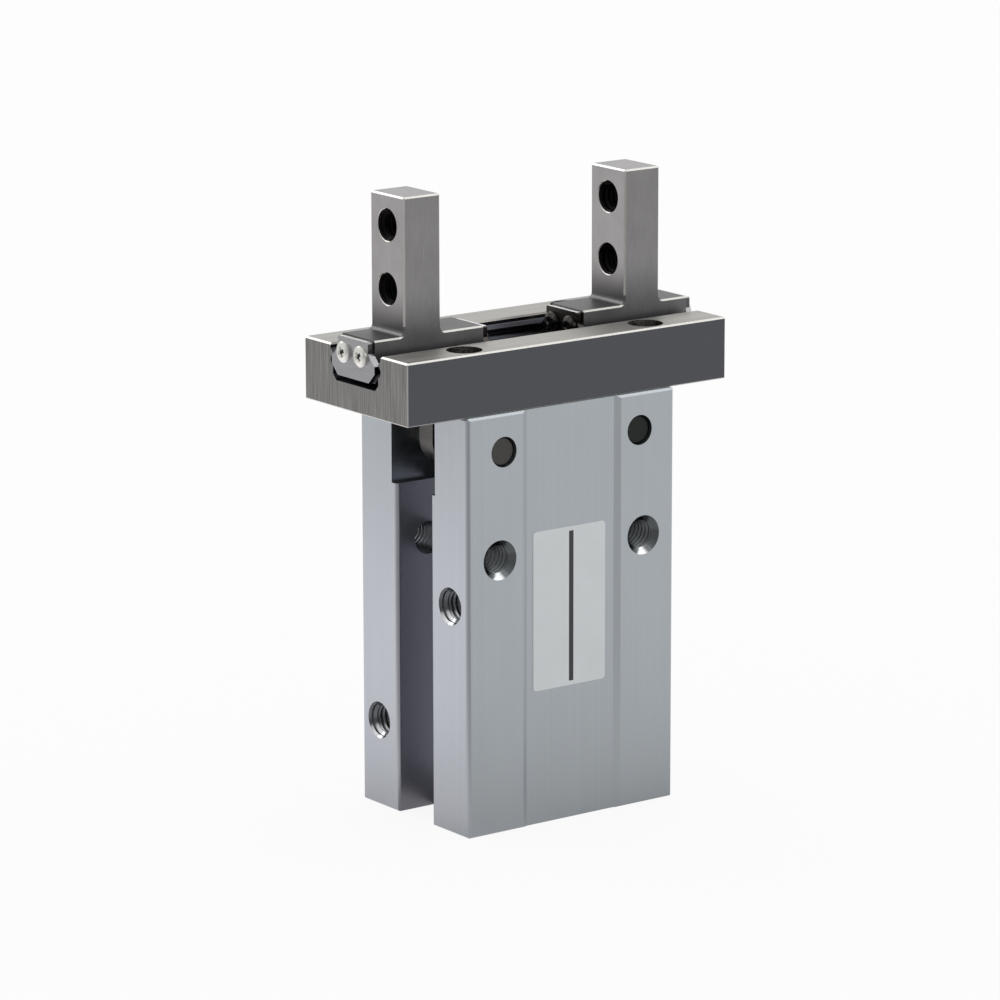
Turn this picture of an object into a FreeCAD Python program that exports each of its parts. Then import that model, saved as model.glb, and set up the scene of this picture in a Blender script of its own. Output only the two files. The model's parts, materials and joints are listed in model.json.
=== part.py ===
import FreeCAD
import Part
import math
import os

# Pneumatic parallel gripper with a long-stroke ball guide, in millimetres.
# X runs along the finger travel, -Y is the front, +Z is up.
# The origin is the centre of the base and the fingers stand open.

# Housing
body_width = 23.0
body_depth = 16.4
body_height = 38.1
body_corner_radius = 0.45
body_edge_chamfer = 0.2
face_recess_width = 10.3
face_recess_depth = 0.3
face_recess_ramp = 0.6
side_slot_width = 5.2
side_slot_edge_radius = 0.4
cylinder_wall = 2.4
lever_bay_depth = 7.7

# Holes that other equipment fastens to
mount_hole_diameter = 3.0
mount_hole_mouth = 3.6
mount_hole_spacing = 16.0
mount_hole_drop = 13.1
base_hole_spacing_x = 17.0
base_hole_spacing_y = 11.0
base_hole_depth = 6.0
locating_diameter = 11.0
locating_depth = 1.5
port_diameter = 3.0
port_mouth = 3.4
port_depth = 5.0
port_passage_diameter = 1.6
port_passage_shift = 0.6
port_standoff = 0.5
upper_port_drop = 1.1
lower_port_rise = 1.45

# Cylinder
bore_diameter = 10.0
rod_diameter = 6.0
running_play = 0.05
static_play = 0.02
ring_land = 0.5
ring_groove_width = 1.0
ring_groove_depth = 0.35
ring_thickness = 0.9
ring_section = 1.0
ring_lug_radius = 1.1
ring_lug_hole_diameter = 1.0
ring_lug_spread = 3.5
ring_lug_inset = 0.9
cap_thickness = 3.5
cap_dish_diameter = 6.0
cap_dish_depth = 0.8
cap_seal_section = 1.0
cap_seal_groove_width = 1.4
bumper_diameter = 6.4
bumper_thickness = 1.7
piston_end_play = 0.1
piston_height = 9.55
piston_collar_diameter = 7.6
piston_collar_height = 1.2
piston_edge_chamfer = 0.4
piston_seal_width = 1.8
piston_seal_depth = 1.3
piston_seal_lip = 0.4
piston_land = 1.4
magnet_width = 2.6
magnet_depth = 1.4
rod_seal_width = 2.2
rod_seal_depth = 1.5
rod_seal_lip_gap = 0.5
rod_seal_lip_depth = 0.9

# Levers and their pins
lever_pin_diameter = 2.75
lever_pin_sink = 0.3
lever_pin_chamfer = 0.2
lever_pivot_drop = 3.4
lever_thickness = 2.0
lever_hub_radius = 2.55
lever_neck_radius = 0.4
lever_tip_radius = 1.1
lever_tip_engagement = 1.4
lever_heel_radius = 1.0
lever_heel_cover = 0.8
lever_bay_side_play = 0.3
lever_side_play = 0.1
rod_neck_thickness = 1.6
rod_head_clearance = 0.2

# Guide rail
guide_length = 35.25
guide_height = 5.65
guide_edge_chamfer = 0.15
guide_corner_chamfer = 0.1
guide_set_back = 0.38
channel_floor_thickness = 2.45
guide_wall = 4.37
channel_mouth_flare = 0.35
channel_mouth_depth = 0.8
channel_corner_chamfer = 0.5
channel_edge_chamfer = 0.15
lever_opening_play = 0.3
guide_screw_edge = 1.46
guide_screw_face_inset = 2.05
guide_screw_diameter = 1.6
guide_screw_head_diameter = 2.9
guide_screw_head_height = 1.3
guide_screw_head_chamfer = 0.15
guide_screw_socket = 1.5
guide_screw_socket_depth = 0.7
guide_screw_grip = 4.8
guide_screw_bore_depth = 2.4
guide_screw_head_play = 0.15
guide_screw_wall = 0.325
guide_screw_end_play = 0.5
dowel_diameter = 1.5
dowel_length = 4.0
dowel_offset = 5.7

# Fingers, carriages and balls
finger_stroke = 4.0
finger_gap = 20.4
finger_thickness = 3.95
finger_width = 5.0
finger_length = 12.3
finger_edge_chamfer = 0.15
finger_foot_radius = 0.5
finger_hole_diameter = 2.5
finger_hole_mouth = 3.0
finger_hole_tip_distance = 2.73
finger_hole_pitch = 5.7
carriage_rise = 1.12
carriage_float = 0.52
carriage_side_gap = 0.3
carriage_end_overhang = 0.25
carriage_corner_chamfer = 0.7
carriage_wall = 0.5
ball_diameter = 1.0
ball_pitch = 1.06
ball_play = 0.02
ball_height = 1.75
stop_thickness = 0.6
stop_side_gap = 0.2
stop_neck_width = 4.55
stop_lift = 0.1
stop_drop = 0.12
stop_top_radius = 0.24
stop_shoulder_height = 1.6
stop_corner_chamfer = 0.9
stop_screw_spacing = 2.6
stop_screw_drop = 1.48
stop_screw_diameter = 1.1
stop_screw_depth = 2.3
stop_screw_head_diameter = 1.9
stop_screw_head_height = 0.42
stop_screw_head_round = 0.25
stop_screw_cross_reach = 1.06
stop_screw_cross_slot = 0.3
stop_screw_cross_depth = 0.3
stop_screw_end_play = 0.5

# Sizes that follow from the ones above
cut_over = 1.0
match = 0.0001
half_width = body_width / 2
half_depth = body_depth / 2
bore_radius = bore_diameter / 2
rod_radius = rod_diameter / 2
guide_depth = body_depth - 2 * guide_set_back
channel_width = guide_depth - 2 * guide_wall
carriage_width = channel_width - 2 * carriage_side_gap
stop_width = channel_width - 2 * stop_side_gap
slot_floor_x = bore_radius + cylinder_wall
lever_bay_width = rod_diameter + 2 * lever_bay_side_play
screw_x = half_width - guide_screw_edge
screw_y = guide_depth / 2 - guide_screw_face_inset
pivot_x = screw_x - guide_screw_diameter / 2 - guide_screw_wall - lever_pin_diameter / 2
port_y = bore_radius + port_standoff
ball_y = (channel_width + carriage_width) / 4

# Heights
bay_floor_z = body_height - lever_bay_depth
mount_hole_z = body_height - mount_hole_drop
pivot_z = body_height - lever_pivot_drop
floor_z = body_height + channel_floor_thickness
guide_top_z = body_height + guide_height
carriage_bottom_z = floor_z + carriage_float
carriage_top_z = guide_top_z + carriage_rise
tip_z = carriage_bottom_z + lever_tip_engagement
ball_z = floor_z + ball_height
finger_top_z = carriage_top_z + finger_length
stop_screw_z = carriage_top_z - stop_screw_drop
ring_bottom_z = locating_depth + ring_land
cap_bottom_z = ring_bottom_z + ring_groove_width
cap_top_z = cap_bottom_z + cap_thickness
lower_port_z = cap_top_z + lower_port_rise

# Motion: both ends of a lever move in straight slots, so travel goes with the sine of its angle
tip_arm = tip_z - pivot_z
heel_arm = pivot_x - (rod_radius - lever_heel_cover)
lever_swing = math.asin(finger_stroke / 2 / tip_arm)
piston_stroke = heel_arm * finger_stroke / tip_arm
heel_rest_z = pivot_z + piston_stroke / 2
tip_rest_x = pivot_x + finger_stroke / 2
piston_bottom_z = cap_top_z + bumper_thickness + piston_end_play + piston_stroke
piston_top_z = piston_bottom_z + piston_height
collar_top_z = piston_top_z + piston_collar_height
bore_top_z = collar_top_z + piston_end_play
upper_port_z = bore_top_z - upper_port_drop
rod_top_z = body_height - rod_head_clearance

# Carriage ends along X at rest, for the finger on the +X side
carriage_inner_x = tip_rest_x - lever_tip_radius - running_play - carriage_wall - stop_screw_depth
carriage_outer_x = guide_length / 2 + carriage_end_overhang - stop_thickness

X = FreeCAD.Vector(1, 0, 0)
Y = FreeCAD.Vector(0, 1, 0)
Z = FreeCAD.Vector(0, 0, 1)
origin = FreeCAD.Vector(0, 0, 0)


def point(x, y, z):
    return FreeCAD.Vector(x, y, z)


def box(x0, x1, y0, y1, z0, z1):
    return Part.makeBox(x1 - x0, y1 - y0, z1 - z0, point(x0, y0, z0))


def bar(start, end, radius):
    """Round bar between two points."""
    way = end - start
    return Part.makeCylinder(radius, way.Length, start, way)


def countersink(mouth, inward, hole_diameter, mouth_diameter):
    """Cutter for a 45 degree edge break where a hole meets a face."""
    depth = (mouth_diameter - hole_diameter) / 2
    return Part.makeCone(mouth_diameter / 2, hole_diameter / 2, depth, mouth, inward)


def corner_face(corners, place):
    """Flat face through (u, v, radius) corners, with a tangent arc at every corner that has a radius."""
    flat = [FreeCAD.Vector(u, v, 0) for u, v, radius in corners]
    radii = [radius for u, v, radius in corners]
    ends = []
    for i, corner in enumerate(flat):
        back = (flat[i - 1] - corner).normalize()
        ahead = (flat[(i + 1) % len(flat)] - corner).normalize()
        if radii[i] == 0:
            ends.append((corner, corner, corner))
            continue
        half_angle = back.getAngle(ahead) / 2
        run = radii[i] / math.tan(half_angle)
        centre = corner + (back + ahead).normalize() * (radii[i] / math.sin(half_angle))
        middle = centre + (corner - centre).normalize() * radii[i]
        ends.append((corner + back * run, middle, corner + ahead * run))
    edges = []
    for i, (start, middle, end) in enumerate(ends):
        if radii[i] > 0:
            arc = Part.Arc(place(start), place(middle), place(end))
            edges.append(arc.toShape())
        following = ends[(i + 1) % len(ends)][0]
        if (following - end).Length > match:
            edges.append(Part.makeLine(place(end), place(following)))
    return Part.Face(Part.Wire(edges))


def on_xy(flat):
    return point(flat.x, flat.y, 0)


def on_xz(flat):
    return point(flat.x, 0, flat.y)


def on_yz(flat):
    return point(0, flat.x, flat.y)


def prism_x(corners, start, end):
    solid = corner_face(corners, on_yz).extrude(X * (end - start))
    solid.translate(X * start)
    return solid


def prism_y(corners, start, end):
    solid = corner_face(corners, on_xz).extrude(Y * (end - start))
    solid.translate(Y * start)
    return solid


def prism_z(corners, start, end):
    solid = corner_face(corners, on_xy).extrude(Z * (end - start))
    solid.translate(Z * start)
    return solid


def turned(outline):
    """Solid of revolution about Z from (radius, height) points."""
    corners = [(radius, height, 0) for radius, height in outline]
    return corner_face(corners, on_xz).revolve(origin, Z, 360)


def mirrored_pair(corners):
    """Outline from its +u half: the half as given, then the same on the other side."""
    other = [(-u, v, radius) for u, v, radius in reversed(corners)]
    return corners + other


def four_quadrants(corners):
    """Outline about both axes from its first quadrant, given from the u axis round to the v axis."""
    upper = mirrored_pair(corners)
    lower = [(-u, -v, radius) for u, v, radius in upper]
    return upper + lower


def mirror_x(solid):
    return solid.mirror(origin, X)


def eased_section(half, z0, z1, top, bottom):
    """Upright rectangle with its top and bottom corners broken."""
    return mirrored_pair([
        (half - bottom, z0, 0),
        (half, z0 + bottom, 0),
        (half, z1 - top, 0),
        (half - top, z1, 0),
    ])


def eased_block(half_x, half_y, z0, z1, top, bottom):
    """Block about the Z axis with broken edges round its top and its bottom."""
    along = prism_x(eased_section(half_y, z0, z1, top, bottom), -half_x, half_x)
    across = prism_y(eased_section(half_x, z0, z1, top, bottom), -half_y, half_y)
    return along.common(across)


def body_section():
    """Extruded outline of the housing: side slots, rounded corners and a shallow middle band."""
    slot = side_slot_width / 2
    band = face_recess_width / 2
    ramp = face_recess_ramp / 2
    return four_quadrants([
        (slot_floor_x, slot, 0),
        (half_width, slot, side_slot_edge_radius),
        (half_width, half_depth, body_corner_radius),
        (band + ramp, half_depth, 0),
        (band - ramp, half_depth - face_recess_depth, 0),
    ])


def cylinder_cavity():
    """Bore, locating recess, ring groove, rod hole and rod seal groove as one turned cutter."""
    locating = locating_diameter / 2
    groove = bore_radius + ring_groove_depth
    rod_hole = rod_radius + running_play
    seal_groove = rod_radius + rod_seal_depth
    seal_z = (bore_top_z + bay_floor_z - rod_seal_width) / 2
    return turned([
        (0, -cut_over),
        (locating, -cut_over),
        (locating, locating_depth),
        (bore_radius, locating_depth),
        (bore_radius, ring_bottom_z),
        (groove, ring_bottom_z),
        (groove, cap_bottom_z),
        (bore_radius, cap_bottom_z),
        (bore_radius, bore_top_z),
        (rod_hole, bore_top_z),
        (rod_hole, seal_z),
        (seal_groove, seal_z),
        (seal_groove, seal_z + rod_seal_width),
        (rod_hole, seal_z + rod_seal_width),
        (rod_hole, bay_floor_z + cut_over),
        (0, bay_floor_z + cut_over),
    ])


def side_mount_cutters():
    """Two tapped holes from front to back, countersunk on both faces."""
    cutters = []
    for x in (-mount_hole_spacing / 2, mount_hole_spacing / 2):
        front = point(x, -half_depth, mount_hole_z)
        back = point(x, half_depth, mount_hole_z)
        cutters.append(bar(front - Y * cut_over, back + Y * cut_over, mount_hole_diameter / 2))
        cutters.append(countersink(front, Y, mount_hole_diameter, mount_hole_mouth))
        cutters.append(countersink(back, -Y, mount_hole_diameter, mount_hole_mouth))
    return cutters


def base_mount_cutters():
    cutters = []
    for x in (-base_hole_spacing_x / 2, base_hole_spacing_x / 2):
        for y in (-base_hole_spacing_y / 2, base_hole_spacing_y / 2):
            foot = point(x, y, 0)
            cutters.append(bar(foot - Z * cut_over, foot + Z * base_hole_depth, mount_hole_diameter / 2))
            cutters.append(countersink(foot, Z, mount_hole_diameter, port_mouth))
    return cutters


def port_cutters():
    """Two tapped air ports in the left face, each with a small drilling that breaks into the bore."""
    cutters = []
    for side, z in ((-1, upper_port_z), (1, lower_port_z)):
        mouth = point(-half_width, side * port_y, z)
        seat = mouth + X * port_depth
        inner = point(0, side * (port_y - port_passage_shift), z)
        cutters.append(bar(mouth - X * cut_over, seat, port_diameter / 2))
        cutters.append(countersink(mouth, X, port_diameter, port_mouth))
        cutters.append(bar(point(seat.x - cut_over, inner.y, z), inner, port_passage_diameter / 2))
    return cutters


def guide_fixing_cutters():
    """Lever pin holes, tapped holes for the guide screws and dowel holes in the top of the housing."""
    cutters = []
    deep = body_height - guide_screw_grip - guide_screw_end_play
    for x in (-1, 1):
        front = point(x * pivot_x, -half_depth - cut_over, pivot_z)
        cutters.append(bar(front, front + Y * (body_depth + 2 * cut_over), lever_pin_diameter / 2))
        for y in (-1, 1):
            foot = point(x * screw_x, y * screw_y, deep)
            cutters.append(bar(foot, foot + Z * body_height, guide_screw_diameter / 2 + static_play))
    return cutters + dowel_holes()


def dowel_holes():
    half = dowel_length / 2 + static_play
    holes = []
    for y in (-dowel_offset, dowel_offset):
        middle = point(0, y, body_height)
        holes.append(bar(middle - Z * half, middle + Z * half, dowel_diameter / 2 + static_play))
    return holes


def body_block():
    """Housing: extruded outline with broken end edges, a lever bay across the top, and all holes."""
    edge = body_edge_chamfer
    solid = prism_z(body_section(), 0, body_height)
    solid = solid.common(eased_block(half_width, half_depth, 0, body_height, edge, edge))
    across = half_width + cut_over
    bay = lever_bay_width / 2
    cutters = [cylinder_cavity()]
    cutters.append(box(-across, across, -bay, bay, bay_floor_z, body_height + cut_over))
    cutters += side_mount_cutters()
    cutters += base_mount_cutters()
    cutters += port_cutters()
    cutters += guide_fixing_cutters()
    return solid.cut(cutters)


def lever_pin():
    """Straight pin for the right-hand lever, sunk a little below the front and back faces."""
    radius = lever_pin_diameter / 2 - static_play
    half = half_depth - lever_pin_sink
    pin = bar(point(pivot_x, -half, pivot_z), point(pivot_x, half, pivot_z), radius)
    ends = [edge for edge in pin.Edges if edge.isClosed()]
    return pin.makeChamfer(lever_pin_chamfer, ends)


def channel_section():
    """Open guide channel seen along X, wider at its mouth."""
    wall = channel_width / 2
    mouth = wall + channel_mouth_flare
    shoulder_z = guide_top_z - channel_mouth_depth
    return mirrored_pair([
        (wall - channel_corner_chamfer, floor_z, 0),
        (wall, floor_z + channel_corner_chamfer, 0),
        (wall, shoulder_z, 0),
        (mouth, shoulder_z + channel_mouth_flare, 0),
        (mouth, guide_top_z - channel_edge_chamfer, 0),
        (mouth + channel_edge_chamfer, guide_top_z, 0),
        (mouth + channel_edge_chamfer, guide_top_z + cut_over, 0),
    ])


def ball_groove(side, start, end):
    """Cutter for one of the round grooves that the balls roll in."""
    y = side * ball_y
    return bar(point(start, y, ball_z), point(end, y, ball_z), ball_diameter / 2 + ball_play)


def lever_opening():
    """Slot in the channel floor that the right-hand lever swings through."""
    rise = floor_z - pivot_z
    share = rise / tip_arm
    arm_half = lever_hub_radius + (lever_neck_radius - lever_hub_radius) * share
    reach = rise * math.tan(lever_swing) + arm_half / math.cos(lever_swing) + lever_opening_play
    reach = max(reach, finger_stroke / 2 + lever_tip_radius + lever_opening_play)
    half = lever_thickness / 2 + lever_opening_play
    outline = four_quadrants([(reach, half, half - static_play)])
    cutter = prism_z(outline, body_height - cut_over, floor_z + cut_over)
    cutter.translate(X * pivot_x)
    return cutter


def guide_screw_cutters():
    cutters = []
    bore = guide_screw_head_diameter / 2 + guide_screw_head_play
    hole = guide_screw_diameter / 2 + guide_screw_head_play
    for x in (-screw_x, screw_x):
        for y in (-screw_y, screw_y):
            seat = point(x, y, guide_top_z - guide_screw_bore_depth)
            cutters.append(bar(seat, seat + Z * guide_height, bore))
            cutters.append(bar(seat - Z * guide_height, seat, hole))
    return cutters


def guide_rail():
    half = guide_length / 2
    deep = guide_depth / 2
    solid = eased_block(half, deep, body_height, guide_top_z, guide_edge_chamfer, guide_corner_chamfer)
    uprights = [edge for edge in solid.Edges if abs(edge.tangentAt(edge.FirstParameter).z) > 1 - match]
    solid = solid.makeChamfer(guide_corner_chamfer, uprights)
    cutters = [prism_x(channel_section(), -half - cut_over, half + cut_over)]
    for side in (-1, 1):
        cutters.append(ball_groove(side, -half - cut_over, half + cut_over))
    opening = lever_opening()
    cutters.append(opening)
    cutters.append(mirror_x(opening))
    cutters += guide_screw_cutters()
    cutters += dowel_holes()
    return solid.cut(cutters)


def guide_screw(x, y):
    """Small socket-head screw, its thread drawn at the core size."""
    seat = point(x, y, guide_top_z - guide_screw_bore_depth)
    top = seat + Z * guide_screw_head_height
    head = bar(seat, top, guide_screw_head_diameter / 2)
    rim = [edge for edge in head.Edges if edge.isClosed() and edge.CenterOfMass.z > seat.z + static_play]
    head = head.makeChamfer(guide_screw_head_chamfer, rim)
    tail = point(x, y, body_height - guide_screw_grip)
    shank = bar(tail, seat + Z * static_play, guide_screw_diameter / 2)
    corner = guide_screw_socket / math.sqrt(3)
    turns = [i * math.pi / 3 for i in range(6)]
    hexagon = [(corner * math.cos(turn), corner * math.sin(turn), 0) for turn in turns]
    socket = prism_z(hexagon, top.z - guide_screw_socket_depth, top.z + cut_over)
    socket.translate(point(x, y, 0))
    return head.fuse(shank).cut(socket).removeSplitter()


def guide_screws():
    screws = [guide_screw(x, y) for x in (-screw_x, screw_x) for y in (-screw_y, screw_y)]
    return Part.makeCompound(screws)


def guide_dowels():
    dowels = []
    half = Z * (dowel_length / 2)
    for y in (-dowel_offset, dowel_offset):
        middle = point(0, y, body_height)
        dowels.append(bar(middle - half, middle + half, dowel_diameter / 2))
    return Part.makeCompound(dowels)


def link(start, start_radius, end, end_radius):
    """Flat arm in the XZ plane: two round ends joined by their outer tangents."""
    way = end - start
    heading = math.atan2(way.z, way.x)
    spread = math.acos((start_radius - end_radius) / way.Length)

    def rim(centre, radius, angle):
        return centre + point(radius * math.cos(angle), 0, radius * math.sin(angle))

    left_start = rim(start, start_radius, heading + spread)
    left_end = rim(end, end_radius, heading + spread)
    right_start = rim(start, start_radius, heading - spread)
    right_end = rim(end, end_radius, heading - spread)
    start_arc = Part.Arc(left_start, rim(start, start_radius, heading + math.pi), right_start)
    end_arc = Part.Arc(right_end, rim(end, end_radius, heading), left_end)
    right_side = Part.makeLine(right_start, right_end)
    left_side = Part.makeLine(left_end, left_start)
    face = Part.Face(Part.Wire([start_arc.toShape(), right_side, end_arc.toShape(), left_side]))
    arm = face.extrude(Y * lever_thickness)
    arm.translate(-Y * (lever_thickness / 2))
    return arm


def disc(centre, radius):
    half = Y * (lever_thickness / 2)
    return bar(centre - half, centre + half, radius)


def lever():
    """Right-hand bell crank, swung outward to the open end of its travel."""
    pivot = point(pivot_x, 0, pivot_z)
    tip = pivot + point(tip_arm * math.sin(lever_swing), 0, tip_arm * math.cos(lever_swing))
    heel = pivot + point(-heel_arm * math.cos(lever_swing), 0, heel_arm * math.sin(lever_swing))
    solid = link(pivot, lever_hub_radius, tip, lever_neck_radius)
    solid = solid.fuse(link(pivot, lever_hub_radius, heel, lever_neck_radius))
    solid = solid.fuse([disc(tip, lever_tip_radius), disc(heel, lever_heel_radius)])
    solid = solid.removeSplitter()
    hole = bar(pivot - Y * body_depth, pivot + Y * body_depth, lever_pin_diameter / 2 + running_play)
    return solid.cut(hole)


def carriage_section():
    """Wide lower part of the finger base seen along X, between the two rows of balls."""
    wide = carriage_width / 2
    shoulder_z = guide_top_z - channel_mouth_depth
    return mirrored_pair([
        (wide - carriage_corner_chamfer, carriage_bottom_z, 0),
        (wide, carriage_bottom_z + carriage_corner_chamfer, 0),
        (wide, shoulder_z, 0),
    ])


def finger_upright():
    """Post and neck of the right-hand finger: one flat outline with rounded feet and broken edges."""
    inner = finger_gap / 2
    outer = inner + finger_thickness
    shoulder_z = guide_top_z - channel_mouth_depth
    upright = prism_y([
        (carriage_outer_x, shoulder_z, 0),
        (carriage_outer_x, carriage_top_z, 0),
        (outer, carriage_top_z, finger_foot_radius),
        (outer, finger_top_z, 0),
        (inner, finger_top_z, 0),
        (inner, carriage_top_z, finger_foot_radius),
        (carriage_inner_x, carriage_top_z, 0),
        (carriage_inner_x, shoulder_z, 0),
    ], -finger_width / 2, finger_width / 2)
    edges = []
    for edge in upright.Edges:
        middle = edge.CenterOfMass
        on_face = abs(abs(middle.y) - finger_width / 2) < match
        if middle.z > finger_top_z - match or (on_face and middle.z > carriage_top_z - match):
            edges.append(edge)
    return upright.makeChamfer(finger_edge_chamfer, edges)


def finger_hole_cutters():
    cutters = []
    inner = finger_gap / 2
    outer = inner + finger_thickness
    for step in (0, 1):
        z = finger_top_z - finger_hole_tip_distance - step * finger_hole_pitch
        near = point(inner, 0, z)
        far = point(outer, 0, z)
        cutters.append(bar(near - X * cut_over, far + X * cut_over, finger_hole_diameter / 2))
        cutters.append(countersink(near, X, finger_hole_diameter, finger_hole_mouth))
        cutters.append(countersink(far, -X, finger_hole_diameter, finger_hole_mouth))
    return cutters


def stop_screw_places():
    """Head seats of the end-plate screws on the right-hand carriage, each with its inward direction."""
    places = []
    for y in (-stop_screw_spacing / 2, stop_screw_spacing / 2):
        places.append((point(carriage_outer_x + stop_thickness, y, stop_screw_z), -X))
        places.append((point(carriage_inner_x - stop_thickness, y, stop_screw_z), X))
    return places


def lever_pocket():
    """Slot under the carriage for the round tip of the lever."""
    reach = lever_tip_radius + running_play
    half = lever_thickness / 2 + lever_side_play
    top = tip_z + lever_tip_radius + lever_side_play
    return box(tip_rest_x - reach, tip_rest_x + reach, -half, half, carriage_bottom_z - cut_over, top)


def finger():
    """Right-hand finger and its carriage, one piece of steel."""
    solid = prism_x(carriage_section(), carriage_inner_x, carriage_outer_x)
    solid = solid.fuse(finger_upright())
    cutters = [lever_pocket()]
    for side in (-1, 1):
        cutters.append(ball_groove(side, carriage_inner_x - cut_over, carriage_outer_x + cut_over))
    for seat, inward in stop_screw_places():
        depth = stop_thickness + stop_screw_depth
        cutters.append(bar(seat, seat + inward * depth, stop_screw_diameter / 2 + static_play))
    cutters += finger_hole_cutters()
    return solid.cut(cutters).removeSplitter()


def ball_stop(start):
    """End plate that keeps the balls in; its flared shoulders cover the ball grooves."""
    wide = stop_width / 2
    neck = stop_neck_width / 2
    bottom_z = carriage_bottom_z + stop_lift
    top_z = carriage_top_z - stop_drop
    shoulder_z = bottom_z + stop_shoulder_height
    taper = stop_corner_chamfer
    plate = prism_x(mirrored_pair([
        (wide - taper, bottom_z, 0),
        (wide, bottom_z + taper, 0),
        (wide, shoulder_z, 0),
        (neck, shoulder_z + wide - neck, 0),
        (neck, top_z, stop_top_radius),
    ]), start, start + stop_thickness)
    hole = stop_screw_diameter / 2 + 2 * static_play
    for y in (-stop_screw_spacing / 2, stop_screw_spacing / 2):
        middle = point(start, y, stop_screw_z)
        plate = plate.cut(bar(middle - X * cut_over, middle + X * cut_over, hole))
    return plate


def stop_screw(seat, inward):
    """Small pan-head screw with a cross recess."""
    top = seat - inward * stop_screw_head_height
    head = bar(seat, top, stop_screw_head_diameter / 2)
    rim = [edge for edge in head.Edges if edge.isClosed() and (edge.CenterOfMass - top).Length < match]
    head = head.makeFillet(stop_screw_head_round, rim)
    end = seat + inward * (stop_thickness + stop_screw_depth - stop_screw_end_play)
    shank = bar(seat - inward * static_play, end, stop_screw_diameter / 2)
    reach = stop_screw_cross_reach / 2
    thin = stop_screw_cross_slot / 2
    sides = sorted((top.x - inward.x * cut_over, top.x + inward.x * stop_screw_cross_depth))
    flat = box(sides[0], sides[1], seat.y - reach, seat.y + reach, seat.z - thin, seat.z + thin)
    upright = box(sides[0], sides[1], seat.y - thin, seat.y + thin, seat.z - reach, seat.z + reach)
    return head.fuse(shank).cut([flat, upright]).removeSplitter()


def stop_screws():
    return Part.makeCompound([stop_screw(seat, inward) for seat, inward in stop_screw_places()])


def ball_row(side):
    """Balls of one groove of the right-hand carriage; they lag the finger by half its travel."""
    length = carriage_outer_x - carriage_inner_x
    count = int((length - finger_stroke / 2 - ball_pitch) / ball_pitch)
    middle = (carriage_outer_x + carriage_inner_x) / 2 - finger_stroke / 4
    balls = []
    for i in range(count):
        x = middle + (i - (count - 1) / 2) * ball_pitch
        balls.append(Part.makeSphere(ball_diameter / 2, point(x, side * ball_y, ball_z)))
    return Part.makeCompound(balls)


def piston_rod():
    """Piston and rod in one piece; two notches under the rod head take the lever heels."""
    piston_radius = bore_radius - running_play
    seal_bottom = piston_bottom_z + piston_land
    seal_top = seal_bottom + piston_seal_width
    magnet_top = piston_top_z - piston_land
    magnet_bottom = magnet_top - magnet_width
    edge = piston_edge_chamfer
    collar = piston_collar_diameter / 2
    solid = turned([
        (0, piston_bottom_z),
        (piston_radius - edge, piston_bottom_z),
        (piston_radius, piston_bottom_z + edge),
        (piston_radius, seal_bottom),
        (piston_radius - piston_seal_depth, seal_bottom),
        (piston_radius - piston_seal_depth, seal_top),
        (piston_radius, seal_top),
        (piston_radius, magnet_bottom),
        (piston_radius - magnet_depth, magnet_bottom),
        (piston_radius - magnet_depth, magnet_top),
        (piston_radius, magnet_top),
        (piston_radius, piston_top_z - edge),
        (piston_radius - edge, piston_top_z),
        (collar, piston_top_z),
        (collar, collar_top_z),
        (rod_radius, collar_top_z),
        (rod_radius, rod_top_z - edge / 2),
        (rod_radius - edge / 2, rod_top_z),
        (0, rod_top_z),
    ])
    half = lever_heel_radius + running_play
    neck = rod_neck_thickness / 2
    notch = box(neck, bore_radius, -bore_radius, bore_radius, heel_rest_z - half, heel_rest_z + half)
    return solid.cut([notch, mirror_x(notch)])


def piston_seal():
    """Lip seal in the lower piston groove."""
    bottom = piston_bottom_z + piston_land + static_play
    top = bottom + piston_seal_width - 2 * static_play
    inner = bore_radius - running_play - piston_seal_depth + static_play
    outer = bore_radius - static_play
    waist = outer - piston_seal_lip
    middle = (bottom + top) / 2
    return turned([(inner, bottom), (outer, bottom), (waist, middle), (outer, top), (inner, top)])


def piston_magnet():
    top = piston_top_z - piston_land - static_play
    bottom = top - magnet_width + 2 * static_play
    inner = bore_radius - running_play - magnet_depth + static_play
    outer = bore_radius - 2 * running_play
    return turned([(inner, bottom), (outer, bottom), (outer, top), (inner, top)])


def rod_seal():
    """Lip seal in the partition, open side down towards the pressure."""
    bottom = (bore_top_z + bay_floor_z - rod_seal_width) / 2 + static_play
    top = bottom + rod_seal_width - 2 * static_play
    inner = rod_radius + static_play
    outer = rod_radius + rod_seal_depth - static_play
    middle = (inner + outer) / 2
    lip = rod_seal_lip_gap / 2
    return turned([
        (inner, bottom),
        (middle - lip, bottom),
        (middle, bottom + rod_seal_lip_depth),
        (middle + lip, bottom),
        (outer, bottom),
        (outer, top),
        (inner + lip, top),
        (inner, top - lip),
    ])


def end_cap():
    """Plug that closes the bore, with a seal groove and a shallow dish underneath."""
    radius = bore_radius - static_play
    groove = radius - cap_seal_section
    middle = (cap_bottom_z + cap_top_z) / 2
    low = middle - cap_seal_groove_width / 2
    high = middle + cap_seal_groove_width / 2
    dish = cap_dish_diameter / 2
    edge = piston_edge_chamfer / 2
    return turned([
        (0, cap_bottom_z + cap_dish_depth),
        (dish - cap_dish_depth, cap_bottom_z + cap_dish_depth),
        (dish, cap_bottom_z),
        (radius - edge, cap_bottom_z),
        (radius, cap_bottom_z + edge),
        (radius, low),
        (groove, low),
        (groove, high),
        (radius, high),
        (radius, cap_top_z - edge),
        (radius - edge, cap_top_z),
        (0, cap_top_z),
    ])


def cap_o_ring():
    section = cap_seal_section / 2 - static_play / 2
    middle = point(0, 0, (cap_bottom_z + cap_top_z) / 2)
    return Part.makeTorus(bore_radius - static_play - cap_seal_section / 2, section, middle, Z)


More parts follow.
